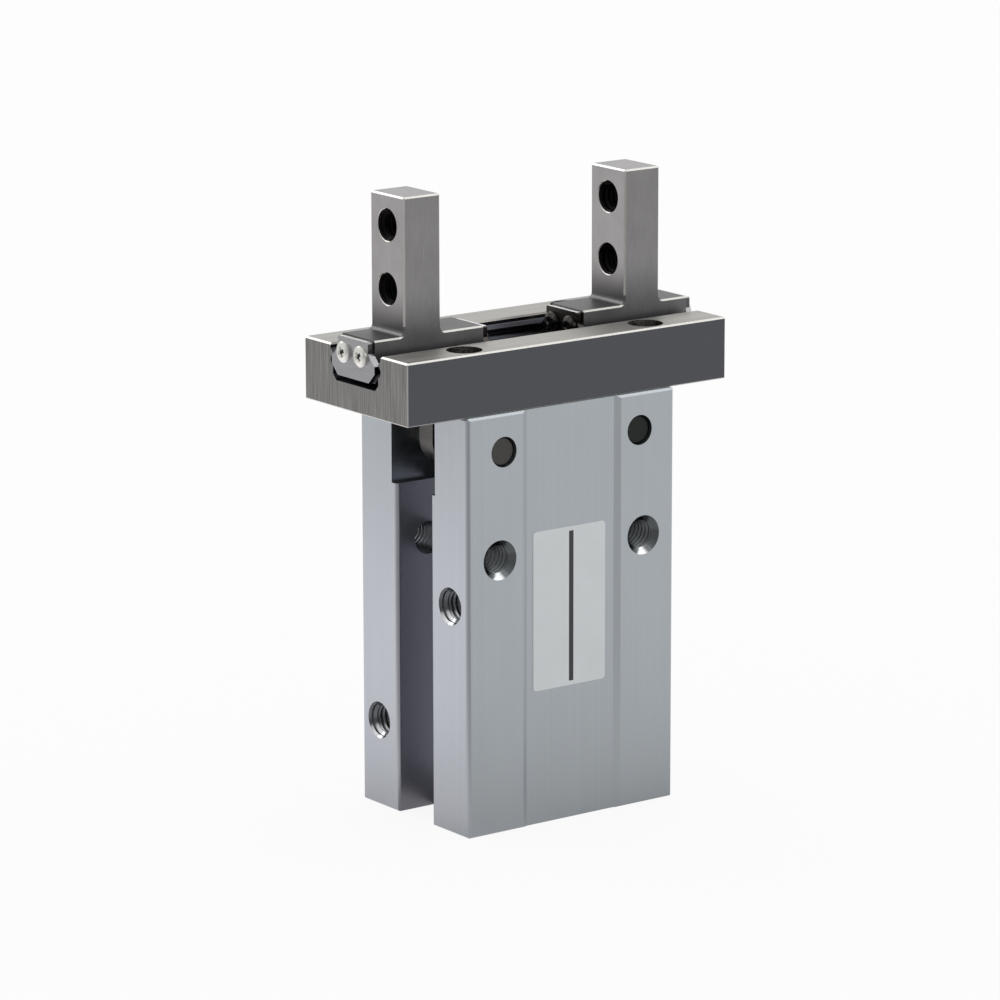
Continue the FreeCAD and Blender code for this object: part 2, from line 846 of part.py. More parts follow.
def bumper():
    radius = bumper_diameter / 2
    top = cap_top_z + bumper_thickness
    edge = piston_edge_chamfer
    return turned([
        (0, cap_top_z),
        (radius, cap_top_z),
        (radius, top - edge),
        (radius - edge, top),
        (0, top),
    ])


def retaining_ring():
    """Internal spring ring with two lugs, drilled for the pliers."""
    bottom = cap_bottom_z - ring_thickness
    outer = bore_radius + ring_groove_depth - running_play
    inner = outer - ring_section
    base = point(0, 0, bottom)
    rise = Z * ring_thickness
    ring = bar(base, base + rise, outer).cut(bar(base - rise, base + rise * 2, inner))
    half = ring_lug_spread / 2
    gap = half - ring_lug_radius / 2
    ring = ring.cut(box(-gap, gap, -outer - cut_over, 0, bottom - cut_over, cap_bottom_z + cut_over))
    for side in (-1, 1):
        lug = base + point(side * half, ring_lug_inset - inner, 0)
        ring = ring.fuse(bar(lug, lug + rise, ring_lug_radius))
        ring = ring.cut(bar(lug - rise, lug + rise * 2, ring_lug_hole_diameter / 2))
    return ring.removeSplitter()


def build():
    """All pieces by name, at rest with the fingers open."""
    right_finger = finger()
    right_lever = lever()
    right_pin = lever_pin()
    right_screws = stop_screws()
    outer_stop = ball_stop(carriage_outer_x)
    inner_stop = ball_stop(carriage_inner_x - stop_thickness)
    front_balls = ball_row(-1)
    back_balls = ball_row(1)
    return {
        "body_block": body_block(),
        "guide_rail": guide_rail(),
        "guide_screws": guide_screws(),
        "guide_dowels": guide_dowels(),
        "lever_pin_left": mirror_x(right_pin),
        "lever_pin_right": right_pin,
        "rod_seal": rod_seal(),
        "end_cap": end_cap(),
        "cap_o_ring": cap_o_ring(),
        "retaining_ring": retaining_ring(),
        "bumper": bumper(),
        "piston_rod": piston_rod(),
        "piston_seal": piston_seal(),
        "piston_magnet": piston_magnet(),
        "lever_left": mirror_x(right_lever),
        "lever_right": right_lever,
        "finger_left": mirror_x(right_finger),
        "finger_right": right_finger,
        "ball_stop_left_outer": mirror_x(outer_stop),
        "ball_stop_left_inner": mirror_x(inner_stop),
        "ball_stop_right_outer": outer_stop,
        "ball_stop_right_inner": inner_stop,
        "stop_screws_left": mirror_x(right_screws),
        "stop_screws_right": right_screws,
        "balls_left_front": mirror_x(front_balls),
        "balls_left_back": mirror_x(back_balls),
        "balls_right_front": front_balls,
        "balls_right_back": back_balls,
    }


def main():
    os.makedirs("parts", exist_ok=True)
    for name, shape in build().items():
        shape.exportStep("parts/" + name + ".step")


main()
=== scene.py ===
import json
import math

import bmesh
import bpy
from mathutils import Matrix, Vector


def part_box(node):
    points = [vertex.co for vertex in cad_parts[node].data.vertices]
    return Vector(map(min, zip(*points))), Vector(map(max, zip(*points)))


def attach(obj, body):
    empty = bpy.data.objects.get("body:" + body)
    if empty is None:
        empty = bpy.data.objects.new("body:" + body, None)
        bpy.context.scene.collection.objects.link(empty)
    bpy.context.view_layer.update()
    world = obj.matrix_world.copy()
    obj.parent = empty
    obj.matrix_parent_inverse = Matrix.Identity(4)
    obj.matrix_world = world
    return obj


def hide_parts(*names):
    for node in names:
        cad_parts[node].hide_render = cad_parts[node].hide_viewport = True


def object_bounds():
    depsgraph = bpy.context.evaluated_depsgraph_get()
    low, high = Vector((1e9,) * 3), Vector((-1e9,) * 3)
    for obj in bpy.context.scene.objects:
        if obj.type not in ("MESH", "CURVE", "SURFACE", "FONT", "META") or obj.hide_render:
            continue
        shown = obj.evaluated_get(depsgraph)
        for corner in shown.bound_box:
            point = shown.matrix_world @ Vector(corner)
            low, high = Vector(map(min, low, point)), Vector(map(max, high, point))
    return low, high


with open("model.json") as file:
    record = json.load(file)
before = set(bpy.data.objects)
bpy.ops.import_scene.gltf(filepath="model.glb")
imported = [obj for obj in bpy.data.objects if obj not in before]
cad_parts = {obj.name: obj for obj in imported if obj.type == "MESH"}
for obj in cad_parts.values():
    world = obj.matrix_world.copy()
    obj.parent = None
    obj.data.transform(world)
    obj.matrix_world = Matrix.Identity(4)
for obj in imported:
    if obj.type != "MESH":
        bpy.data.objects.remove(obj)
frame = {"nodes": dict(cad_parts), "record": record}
cad_low, cad_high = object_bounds()

bl_info = {
    "name": "Parallel gripper finish",
    "version": (1, 0, 0),
    "blender": (4, 5, 0),
    "location": "3D View > Sidebar > Gripper",
    "description": "Threads, small screws, label, surfaces and studio of a pneumatic parallel gripper",
    "category": "Object",
}

MM = 0.001
WHITE = "#ffffff"
X = Vector((1, 0, 0))
Y = Vector((0, 1, 0))
Z = Vector((0, 0, 1))
# The largest part of a normal is over FLAT on a flat face and under CHAMFER on a chamfer.
FLAT = 0.9
CHAMFER = 0.93
# Most of a noise pattern lies between these values.
PATTERN_LOW = 0.3
PATTERN_HIGH = 0.7
# How far finishes reach: in from an edge, into the ports, into the front holes, up the slots, up the feet.
# Into the ports and front holes reaches a painted highlight, up the slots and the feet painted shade.
EDGE_BAND = 0.2 * MM
PORT_MOUTH = 1.6 * MM
FRONT_MOUTH = 2 * MM
SLOT_SHADE = 4.5 * MM
FOOT_SHADE = 4.6 * MM
# Painted edge highlights begin this far over a finger's carriage. That on the carriage's top is a narrow
# band.
PAINTED_HIGHLIGHT_RISE = 1 * MM
CARRIAGE_EDGE = 0.045 * MM
CARRIAGE_EDGE_HALF = 0.09 * MM
# How far up a mouth's normal points where its painted highlight begins and where it is fully bright.
PAINTED_HIGHLIGHT_SIDE = (0.58, 0.7)
# Small screws farther than this from the middle hold the outer end plates.
OUTER_SCREWS = 11 * MM
CORNER_STEPS = 6
# The share of the floor that is plain white to the camera. The rest keeps the shadow.
FLOOR_WHITE = 0.9
FLOOR_GAP = 0.02 * MM
CLIP_NEAR = 0.01
CLIP_FAR = 20.0
# Where the dark side of the room begins and is darkest, as cosines of the angle from its direction.
DARK_SIDE = (0.45, 0.95)
# Between which distances the room comes up in the floor, and the card's near edge is soft.
ROOM_IN_FLOOR = (15 * MM, 70 * MM)
CARD_EDGE = (-10 * MM, 12 * MM)
# Each lamp's name, power property, place, width and height, in metres.
LAMPS = (
    ("Back rim", "rim_power", (0.36, 0.50, 0.24), 0.5, 0.3),
    ("Back left", "back_power", (-0.13, 0.47, 0.37), 0.3, 0.3),
    ("Top", "top_power", (0.2, 0.1, 0.8), 1.4, 1.4),
)
# The kinds of node that are used most.
MATH = "ShaderNodeMath"
VECTOR_MATH = "ShaderNodeVectorMath"
MIX = "ShaderNodeMix"
MAP_RANGE = "ShaderNodeMapRange"
COORDINATES = "ShaderNodeTexCoord"
mounts = {mount["name"]: mount for mount in frame["record"]["mounts"]}


def linear(hex_colour):
    """The linear RGB values of an sRGB hex colour."""
    channels = [int(hex_colour[start:start + 2], 16) / 255 for start in (1, 3, 5)]
    return tuple(c / 12.92 if c <= 0.04045 else ((c + 0.055) / 1.055) ** 2.4 for c in channels)


def number(name, description, default, **settings):
    """A number property. settings hold its unit or subtype."""
    return bpy.props.FloatProperty(name=name, description=description, default=default, **settings)


def factor(name, description, default):
    """A property from 0 to 1."""
    return number(name, description, default, min=0, max=1, subtype="FACTOR")


def angle(name, description, degrees):
    """An angle property."""
    return number(name, description, math.radians(degrees), subtype="ANGLE")


def length(name, description, millimetres, precision=5):
    """A length property."""
    return number(name, description, millimetres * MM, unit="LENGTH", precision=precision)


def two_lengths(name, description, first, second):
    """A property with two lengths in millimetres."""
    default = (first * MM, second * MM)
    return bpy.props.FloatVectorProperty(
        name=name, description=description, default=default, size=2, unit="LENGTH", precision=5)


def surface_colour(name, description, hex_colour):
    """A colour property with an sRGB default."""
    return bpy.props.FloatVectorProperty(
        name=name, description=description, default=linear(hex_colour), size=3, min=0, max=1, subtype="COLOR")


class GripperSizes(bpy.types.PropertyGroup):
    """Sizes of what is added to the solid pieces."""

    body_thread_pitch: length("Body thread pitch", "Pitch of the tapped holes in the housing", 0.5)
    finger_thread_pitch: length("Finger thread pitch", "Pitch of the tapped holes in the fingers", 0.45)
    thread_ridge: number(
        "Thread ridge", "Height of a thread's ridge over its pitch", 0.5, min=0.1, max=0.6, subtype="FACTOR")
    thread_start: length("Thread start", "Depth at which a thread runs out into the mouth of its hole", 0.3)
    wall_thread_length: length("Wall thread length", "Tapped length of the holes in the front and back", 5.0)
    base_thread_length: length("Base thread length", "Tapped length of the holes in the base", 5.4)
    port_thread_length: length("Port thread length", "Tapped length of the air ports", 4.2)
    finger_thread_length: length("Finger thread length", "Tapped length of the holes in the fingers", 3.35)
    body_mouth_radius: length("Body mouth radius", "Radius of the countersunk mouths in the housing", 1.82)
    # Within this radius the fingers' holes are painted dark as shade.
    finger_mouth_radius: length("Finger mouth radius", "Radius of the oily mouths in the fingers", 1.43)
    screw_head_radius: length("Screw head radius", "Radius of the end plate screws' heads", 0.95)
    screw_head_height: length("Screw head height", "Height of the end plate screws' heads", 0.42)
    screw_crown: length("Screw crown", "Fall of a screw head from its middle to its rim", 0.2)
    cross_reach: length("Cross reach", "Length of the cross recess over both arms", 1.2)
    cross_slot: length("Cross slot", "Width of an arm of the cross recess", 0.44)
    cross_depth: length("Cross depth", "Depth of the cross recess", 0.36)
    screw_shank_radius: length("Screw shank radius", "Radius of the end plate screws' shanks", 0.53)
    screw_shank_length: length("Screw shank length", "Length of the end plate screws' shanks", 2.4)
    half_channel: length("Half channel", "Half width of the guide rail's channel with its grooves", 4.0)
    channel_depth: length("Channel depth", "Depth of the guide rail's channel", 3.2)
    half_slot: length("Half slot", "Half width of a side slot with its rounded edges", 2.75)
    band_depth: length("Band depth", "Depth of the middle band behind the front, where the sticker lies", 0.3)
    label_thickness: length("Label thickness", "Thickness of the sticker on the front", 0.06, precision=6)
    label_corner: length("Label corner", "Corner radius of the sticker", 0.35)
    label_middle: two_lengths("Label middle", "Place of the sticker on the front, across and up", -0.14, 19.6)
    label_size: two_lengths("Label size", "Width and height of the sticker", 8.04, 14.6)
    rule_width: length("Rule width", "Width of the printed rule on the sticker", 0.5)
    rule_length: length("Rule length", "Length of the printed rule on the sticker", 13.8)
    rule_shift: length("Rule shift", "Place of the rule beside the sticker's middle", 0.2)


class GripperColours(bpy.types.PropertyGroup):
    """Colours of the surfaces."""

    body: surface_colour("Body", "Anodised aluminium of the housing", "#c5cbd0")
    slot: surface_colour("Slots", "Shaded anodised aluminium inside the side slots", "#bbbdc4")
    # The long sides' dark colour is a painted reflection of dark surroundings.
    guide_side_painted_dark: surface_colour("Guide sides", "Dark finish on the long sides of the guide rail", "#616267")
    guide_ground: surface_colour("Guide ground faces", "Ground steel on the top of the guide rail", "#b4b2ad")
    guide_end: surface_colour("Guide ends", "Brushed steel on the ends of the guide rail", "#8e8d8b")
    # The channel is coloured darker.
    channel: surface_colour("Channel", "Grease in the channel of the guide rail", "#5b5c63")
    # A painted highlight on the edges of the rail and the fingers.
    painted_edge_highlight: surface_colour("Worn edges", "Edges of the rail and the fingers, worn by handling", "#dcdbd6")
    finger: surface_colour("Fingers", "Ground steel of the fingers and carriages", "#b9b5b6")
    finger_side: surface_colour("Finger sides", "Milled front and back of the fingers", "#969494")
    # The carriages and the fingers' feet are painted dark as shade.
    foot: surface_colour("Finger feet", "Oil and grime on the carriages and the fingers' feet", "#7a797a")
    stop: surface_colour("End plates", "Rolled sheet of the carriages' end plates", "#afafb2")
    # The end plates' tops carry a painted highlight.
    painted_plate_highlight: surface_colour("End plate tops", "Top edges of the end plates, rubbed bright", "#fbfbf7")
    # Threads and countersinks are painted dark as shade, with a painted highlight on the mouths' lower sides.
    tapped_body: surface_colour("Tapped holes", "Cut aluminium in the tapped holes", "#787c7f")
    countersunk: surface_colour("Countersinks", "Dull cut aluminium at the tapped holes' mouths", "#6e7274")
    painted_highlight: surface_colour("Rubbed countersinks", "Bright lower sides of the tapped holes' mouths", "#f2f4f5")
    # The fingers' holes are painted near black as shade.
    tapped_finger: surface_colour("Tapped finger holes", "Oiled cut steel in the fingers' holes", "#1a1818")
    bright: surface_colour("Small screws", "Plated steel of the end plate screws", "#f0f0ea")
    # The inner end plates and their screws are painted dark as shade.
    inner: surface_colour("Inner end plates", "Oil and grime on what faces the guide's middle", "#504c4a")
    # The small screws' recesses are painted dark as shade.
    recess: surface_colour("Screw recesses", "Oil and dirt in the recesses of the small screws", "#35322f")
    oxide: surface_colour("Guide screws", "Black oxide of the guide screws", "#29292b")
    pin_left: surface_colour("Left pin", "Hardened dark steel of the left lever pin", "#585755")
    # The right pin is painted darker than the left, as shade.
    pin_right: surface_colour("Right pin", "Hardened and oily steel of the right lever pin", "#363a37")
    lever: surface_colour("Levers", "Hardened ground steel of the levers", "#6a6866")
    turned: surface_colour("Piston and cap", "Turned and anodised aluminium", "#b1b4b6")
    ball: surface_colour("Balls", "Polished bearing steel", "#c2c2c4")
    spring: surface_colour("Retaining ring", "Phosphated spring steel", "#3d3b39")
    rubber: surface_colour("Seals", "Nitrile rubber", "#1d1d1e")
    bumper: surface_colour("Bumper", "Urethane rubber", "#3a2f24")
    magnet: surface_colour("Magnet", "Rubber-bonded magnet", "#2b2a2c")
    label: surface_colour("Label", "Film of the sticker", "#dfe3e5")
    ink: surface_colour("Ink", "Printed rule on the sticker", "#3a3a3c")
    floor: surface_colour("Floor", "Matt white paper of the studio floor", "#f1f1f1")
    card: surface_colour("Card", "Slightly violet white of the card on the studio floor", "#fffafe")


class GripperView(bpy.types.PropertyGroup):
    """The studio's camera and light."""

    azimuth: angle("Azimuth", "Turn of the view to the left of the front", -36.459)
    elevation: angle("Elevation", "Height of the view over the horizon", 13.146)
    roll: angle("Roll", "Tilt of the camera about its line of sight", -0.109)
    distance: length("Distance", "Distance from the camera to what it aims at", 455.929)
    target_height: length("Target height", "Height over the base of what the framing starts from", 30)
    target_shift: two_lengths("Target shift", "Shift of the aim across and up the picture", -1.553, -2.141)
    lens: number("Lens", "Focal length in millimetres", 182.414, unit="CAMERA")
    sensor_width: number("Sensor width", "Width of the sensor in millimetres", 36.0, unit="CAMERA")
    floor_size: length("Floor size", "Width of the studio floor", 8000)
    fill: factor("Fill", "Strength of the surround on matt surfaces", 0.62)
    room: factor("Room", "How bright the dark side of the room is in reflections", 0.5)
    room_azimuth: angle("Room azimuth", "Direction of the room's dark side, to the left of the front", -58)
    sky: factor("Sky", "How bright the surround over the floor is in reflections", 0.7)
    paper: factor("Paper", "How bright the floor is in reflections away from the card", 0.68)
    # The dim floor round the base, seen in reflections, is a painted shadow.
    painted_contact_shadow: factor("Contact", "How bright the floor is in reflections where the base meets it", 0.6)
    contact_reach: length("Contact reach", "How far the dim floor round the base reaches", 22)
    card_reach: length("Card reach", "How far the white card that lies on the floor at the left reaches", 130)
    rim_power: number("Back rim", "Power of the lamp behind", 0.06, unit="POWER")
    back_power: number(
        "Back left", "Power of the lamp behind at the left, which shows in the ports", 0.34, unit="POWER")
    top_power: number("Top", "Power of the lamp above", 3.0, unit="POWER")


def add(tree, kind, *inputs, **settings):
    """Adds a node with its settings and links.

    Inputs come in the node's own order, or by name in a dict. Each is a value, a socket, a node, whose first
    output in use is linked, or a list of nodes.
    """
    node = tree.nodes.new(kind)
    for name, value in settings.items():
        setattr(node, name, value)
    sockets = [socket for socket in node.inputs if socket.enabled]
    pairs = zip(sockets, inputs)
    if inputs and isinstance(inputs[0], dict):
        names = [socket.name for socket in sockets]
        pairs = [(sockets[names.index(name)], value) for name, value in inputs[0].items()]
    for socket, value in pairs:
        for source in value if isinstance(value, list) else [value]:
            if isinstance(source, bpy.types.Node):
                source = next(output for output in source.outputs if output.enabled)
            if isinstance(source, bpy.types.NodeSocket):
                tree.links.new(source, socket)
            else:
                socket.default_value = source
    return node


def empty_tree(owner):
    """The node tree of a new material or world, with nothing in it."""
    owner.use_nodes = True
    owner.node_tree.nodes.clear()
    return owner.node_tree


def start(name):
    """A new material and its empty tree."""
    made = bpy.data.materials.new(name)
    return made, empty_tree(made)


def coat(tree, colour, roughness, relief, depth, metallic=1.0, under=None, more=None):
    """Ends a material with its shader.

    roughness is a node, or the least and the most roughness over the relief. depth is the relief's real
    depth, under is another bump that it lies on, and more holds values that are the same all over.
    """
    if isinstance(roughness, tuple):
        roughness = follow(tree, relief, *roughness)
    bump = {"Height": relief, "Distance": depth}
    if under is not None:
        bump["Normal"] = under
    shader = add(tree, "ShaderNodeBsdfPrincipled", {
        "Base Color": colour, "Metallic": metallic, "Roughness": roughness,
        "Normal": add(tree, "ShaderNodeBump", bump), **(more or {})})
    add(tree, "ShaderNodeOutputMaterial", shader)


def grain(tree, cell, detail=2.0, distortion=0.0):
    """Noise whose cells have these real sizes along X, Y and Z."""
    place = add(tree, COORDINATES).outputs["Object"]
    scaled = add(tree, "ShaderNodeMapping", {"Vector": place, "Scale": tuple(1 / size for size in cell)})
    return add(tree, "ShaderNodeTexNoise", {
        "Vector": scaled, "Scale": 1.0, "Detail": detail, "Distortion": distortion})


def off_axis(tree, place, centre, axis):
    """How far a place is from the line through a centre along an axis."""
    moved = add(tree, VECTOR_MATH, place, centre, operation="SUBTRACT")
    flat = add(tree, VECTOR_MATH, moved, Vector((1, 1, 1)) - axis, operation="MULTIPLY")
    return add(tree, VECTOR_MATH, flat, operation="LENGTH")


def rings(tree, centre, axis, spacing):
    """Turning marks: rings of this real spacing about an axis through a centre."""
    reach = off_axis(tree, add(tree, COORDINATES).outputs["Object"], centre, axis)
    turns = add(tree, MATH, reach, 2 * math.pi / spacing, operation="MULTIPLY")
    wave = add(tree, MATH, turns, operation="SINE")
    return add(tree, MAP_RANGE, wave, -1.0)


def round_axis(tree, centre, axis, radius):
    """1 within a radius of the line through a centre along an axis, and 0 farther off."""
    reach = off_axis(tree, add(tree, COORDINATES).outputs["Object"], centre, axis)
    return add(tree, MATH, reach, radius, operation="LESS_THAN")


def past(tree, reading, axis, least):
    """1 where a coordinate's part along an axis is over least, either way, and 0 elsewhere."""
    place = add(tree, COORDINATES).outputs[reading]
    along = add(tree, VECTOR_MATH, place, axis, operation="DOT_PRODUCT")
    size = add(tree, MATH, along, operation="ABSOLUTE")
    return add(tree, MATH, size, least, operation="GREATER_THAN")


def facing(tree, axis):
    """1 where the surface's own normal lies along an axis, either way, and 0 elsewhere."""
    return past(tree, "Normal", axis, FLAT)


def beyond(tree, axis, distance):
    """1 where a point lies farther than a distance from the middle plane across an axis, and 0 nearer."""
    return past(tree, "Object", axis, distance)


def slanted(tree):
    """1 on chamfers, whose normals lie along no axis, and 0 on flat faces."""
    normal = add(tree, COORDINATES).outputs["Normal"]
    size = add(tree, VECTOR_MATH, normal, operation="ABSOLUTE")
    parts = add(tree, "ShaderNodeSeparateXYZ", size).outputs
    level = add(tree, MATH, parts["X"], parts["Y"], operation="MAXIMUM")
    most = add(tree, MATH, level, parts["Z"], operation="MAXIMUM")
    return add(tree, MATH, most, CHAMFER, operation="LESS_THAN")


def height_up(tree):
    """How high a point lies on the object."""
    place = add(tree, COORDINATES).outputs["Object"]
    return add(tree, "ShaderNodeSeparateXYZ", place).outputs["Z"]


def follow(tree, pattern, low, high):
    """Values from low to high over the range that most of a pattern takes."""
    return add(tree, MAP_RANGE, pattern, PATTERN_LOW, PATTERN_HIGH, low, high)


def shade(colour, share):
    """A colour made darker or lighter by a share, up to white."""
    return tuple(min(1.0, share * channel) for channel in colour)


def tones(tree, colour, pattern, spread):
    """A colour that runs from darker to lighter by spread over a pattern."""
    dark = (*shade(colour, 1 - spread), 1.0)
    light = (*shade(colour, 1 + spread), 1.0)
    return add(tree, MIX, follow(tree, pattern, 0.0, 1.0), dark, light, data_type="RGBA")


def layers(tree, colour, *upper):
    """A colour with others laid over it in order. Each of those is a pair of its mask and its colour."""
    for mask, laid in upper:
        colour = add(tree, MIX, mask, colour, laid, data_type="RGBA")
    return colour


def countersink_colour(tree, painted_dark, painted_highlight, pattern):
    """Cut metal painted dark as shade, with a painted highlight on a mouth's lower side."""
    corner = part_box("body_block")[1]
    at_side = beyond(tree, X, corner.x - PORT_MOUTH)
    at_front = beyond(tree, Y, corner.y - FRONT_MOUTH)
    near_mouth = add(tree, MATH, at_side, at_front, operation="MAXIMUM")
    # The painted highlight is off the bottom, toward the far edge of the left face and the front's left edge.
    parts = add(tree, "ShaderNodeSeparateXYZ", add(tree, COORDINATES).outputs["Normal"]).outputs
    far = add(tree, MATH, parts["Y"], -0.45, operation="MULTIPLY")
    left = add(tree, MATH, parts["X"], 0.25, operation="MULTIPLY")
    across = add(tree, MIX, at_side, left, far)
    toward = add(tree, MATH, parts["Z"], across, operation="ADD")
    lower = add(tree, MAP_RANGE, toward, *PAINTED_HIGHLIGHT_SIDE, interpolation_type="SMOOTHSTEP")
    painted_bright = add(tree, MATH, near_mouth, lower, operation="MULTIPLY")
    return layers(tree, tones(tree, painted_dark, pattern, 0.12), (painted_bright, tones(tree, painted_highlight, pattern, 0.02)))


def anodised_extrusion(colours, half_slot, holes, mouth):
    """Etched and clear anodised extrusion: a cool satin grey, shaded in the slots, bare in countersinks."""
    made, tree = start("Anodised aluminium extrusion")
    # Draw lines run along the extrusion. They are drawn at 0.2 mm, coarser than real, so that they show.
    lines = grain(tree, (0.2 * MM, 0.2 * MM, 60 * MM), 1.0)
    # Etching leaves a fine even tooth, which spreads the light.
    tooth = grain(tree, (0.1 * MM,) * 3)
    # The anodised layer varies a little in tone over a few millimetres.
    tone = add(tree, MIX, 0.45, lines, grain(tree, (5 * MM, 5 * MM, 9 * MM)))
    # What lies between the slots' walls, apart from the base, gets painted shade that darkens it low down.
    height = height_up(tree)
    unshaded = add(tree, MAP_RANGE, height, 0.0, SLOT_SHADE, interpolation_type="SMOOTHSTEP")
    low = add(tree, MAP_RANGE, height, EDGE_BAND, 2 * EDGE_BAND, 1.0, 0.0, interpolation_type="SMOOTHSTEP")
    underside = add(tree, MATH, facing(tree, Z), low, operation="MULTIPLY")
    apart = add(tree, MATH, beyond(tree, Y, half_slot), underside, operation="MAXIMUM")
    # Countersinks are cut after anodising, so they are smooth bare metal.
    # Their colour is painted shade, with a painted highlight on the lower side.
    slope = slanted(tree)
    cut = 0.0
    for place, axis in holes:
        sunk = add(tree, MATH, round_axis(tree, place, axis, mouth), slope, operation="MULTIPLY")
        cut = add(tree, MATH, cut, sunk, operation="MAXIMUM")
    colour = layers(
        tree, (*shade(colours.slot, 0.5), 1.0), (unshaded, tones(tree, colours.slot, tone, 0.03)),
        (apart, tones(tree, colours.body, tone, 0.03)),
        (cut, countersink_colour(tree, colours.countersunk, colours.painted_highlight, tooth)))
    finish = add(tree, MIX, cut, follow(tree, tooth, 0.28, 0.38), 0.14)
    drawn = add(tree, "ShaderNodeBump", {"Height": lines, "Strength": 0.5, "Distance": 0.002 * MM})
    coat(tree, colour, finish, tooth, 0.0015 * MM, under=drawn)
    return made


def cut_aluminium(name, colour, painted_highlight, roughness):
    """Cut aluminium in a tapped hole, with tool chatter, painted shade and a painted highlight at its mouth.
    """
    made, tree = start(name)
    chatter = grain(tree, (0.08 * MM,) * 3)
    coat(tree, countersink_colour(tree, colour, painted_highlight, chatter), roughness, chatter, 0.002 * MM)
    return made


def guide_rail_steel(colours, corner, half_channel, depth):
    """Hardened steel: satin sides painted dark, brushed ends, a ground top, a darker channel, painted bright
    edges.
    """
    made, tree = start("Ground bearing steel")
    # The top is ground along the travel, so its marks are long in X.
    travel = grain(tree, (14 * MM, 0.12 * MM, 0.12 * MM))
    # The ends are brushed upright. The strokes are drawn at 0.14 mm, coarser than real, so that they show.
    upright = grain(tree, (0.14 * MM, 0.14 * MM, 5 * MM), 3.0)
    # The dark sides keep a faint even tooth.
    tooth = grain(tree, (0.12 * MM,) * 3)
    on_end = facing(tree, X)
    outside = beyond(tree, Y, corner.y - EDGE_BAND)
    # The long sides get a dark colour, a painted reflection of dark surroundings.
    on_side = add(tree, MATH, facing(tree, Y), outside, operation="MULTIPLY")
    # Only the outer edges get the painted highlight. Those of the channel stay as ground.
    rim = add(tree, MATH, outside, beyond(tree, X, corner.x - EDGE_BAND), operation="MAXIMUM")
    painted_bright = add(tree, MATH, slanted(tree), rim, operation="MULTIPLY")
    # The channel is coloured darker from its rim to its floor.
    half = depth / 2
    sunk = add(tree, MATH, height_up(tree), corner.z - half - EDGE_BAND, half, operation="COMPARE")
    walls = add(tree, MATH, beyond(tree, Y, half_channel), on_end, operation="MAXIMUM")
    in_channel = add(tree, MATH, sunk, walls, operation="SUBTRACT", use_clamp=True)
    colour = layers(
        tree, tones(tree, colours.guide_ground, travel, 0.16),
        (on_end, tones(tree, colours.guide_end, upright, 0.3)),
        (on_side, tones(tree, colours.guide_side_painted_dark, tooth, 0.06)),
        (painted_bright, tones(tree, colours.painted_edge_highlight, tooth, 0.1)),
        (in_channel, tones(tree, colours.channel, travel, 0.2)))
    marks = add(tree, MIX, on_end, travel, upright)
    relief = add(tree, MIX, on_side, marks, tooth)
    # Grinding leaves the top duller than the brushed faces.
    satin = follow(tree, relief, 0.22, 0.34)
    finish = add(tree, MATH, facing(tree, Z), 0.18, satin, operation="MULTIPLY_ADD")
    coat(tree, colour, finish, relief, 0.003 * MM)
    return made


def finger_steel(colours, base, holes, mouth):
    """Ground stainless steel: satin and slightly warm, with darker milled sides and painted shade at the foot
    and holes.
    """
    made, tree = start("Ground stainless steel")
    # A fine upright grain from grinding, and broad soft patches.
    strokes = grain(tree, (0.12 * MM, 0.12 * MM, 1.6 * MM), 3.0)
    tone = add(tree, MIX, 0.5, strokes, grain(tree, (2.5 * MM, 2.5 * MM, 4 * MM)))
    milled = tones(tree, colours.finger_side, tone, 0.12)
    steel = layers(tree, tones(tree, colours.finger, tone, 0.12), (facing(tree, Y), milled))
    # Painted shade darkens the carriage and fades out up the finger's foot.
    flat = facing(tree, X)
    # Faces along X are painted darker still, as shade.
    deeper_painted_shade = tones(tree, shade(colours.foot, 0.65), tone, 0.15)
    painted_darkening = layers(tree, tones(tree, colours.foot, tone, 0.15), (flat, deeper_painted_shade))
    height = height_up(tree)
    unshaded = add(tree, MAP_RANGE, height, base, base + FOOT_SHADE, interpolation_type="SMOOTHSTEP")
    # The edges over the foot and along the carriage's top get a painted highlight.
    carriage_edge = add(tree, MATH, height, base + CARRIAGE_EDGE, CARRIAGE_EDGE_HALF, operation="COMPARE")
    edges = add(tree, MATH, beyond(tree, Z, base + PAINTED_HIGHLIGHT_RISE), carriage_edge, operation="MAXIMUM")
    painted_bright = add(tree, MATH, slanted(tree), edges, operation="MULTIPLY")
    colour = layers(tree, painted_darkening, (unshaded, steel), (painted_bright, tones(tree, colours.painted_edge_highlight, strokes, 0.1)))
    # The mouths of the holes are painted near black as shade, but not the flat faces that they open in.
    painted_hole_shade = tones(tree, colours.tapped_finger, strokes, 0.15)
    for hole in holes:
        near = round_axis(tree, hole, X, mouth)
        inside = add(tree, MATH, near, flat, operation="SUBTRACT", use_clamp=True)
        colour = layers(tree, colour, (inside, painted_hole_shade))
    finish = add(tree, MIX, unshaded, 0.4, follow(tree, strokes, 0.14, 0.24))
    # An oil film takes the glare off at a flat angle.
    coat(tree, colour, finish, strokes, 0.0015 * MM, more={"Specular Tint": (0.8, 0.8, 0.8, 1.0)})
    return made


def rolled_sheet(name, colour, painted_highlight):
    """Cold rolled stainless sheet: faint rolling lines, dark sheared sides and a painted highlight on the
    top.
    """
    made, tree = start(name)
    lines = grain(tree, (0.15 * MM, 3 * MM, 0.09 * MM))
    sheared = tones(tree, shade(colour, 0.3), lines, 0.2)
    plate = layers(
        tree, tones(tree, colour, lines, 0.1), (facing(tree, Y), sheared),
        (facing(tree, Z), tones(tree, painted_highlight, lines, 0.1)))
    coat(tree, plate, (0.22, 0.34), lines, 0.0015 * MM)
    return made


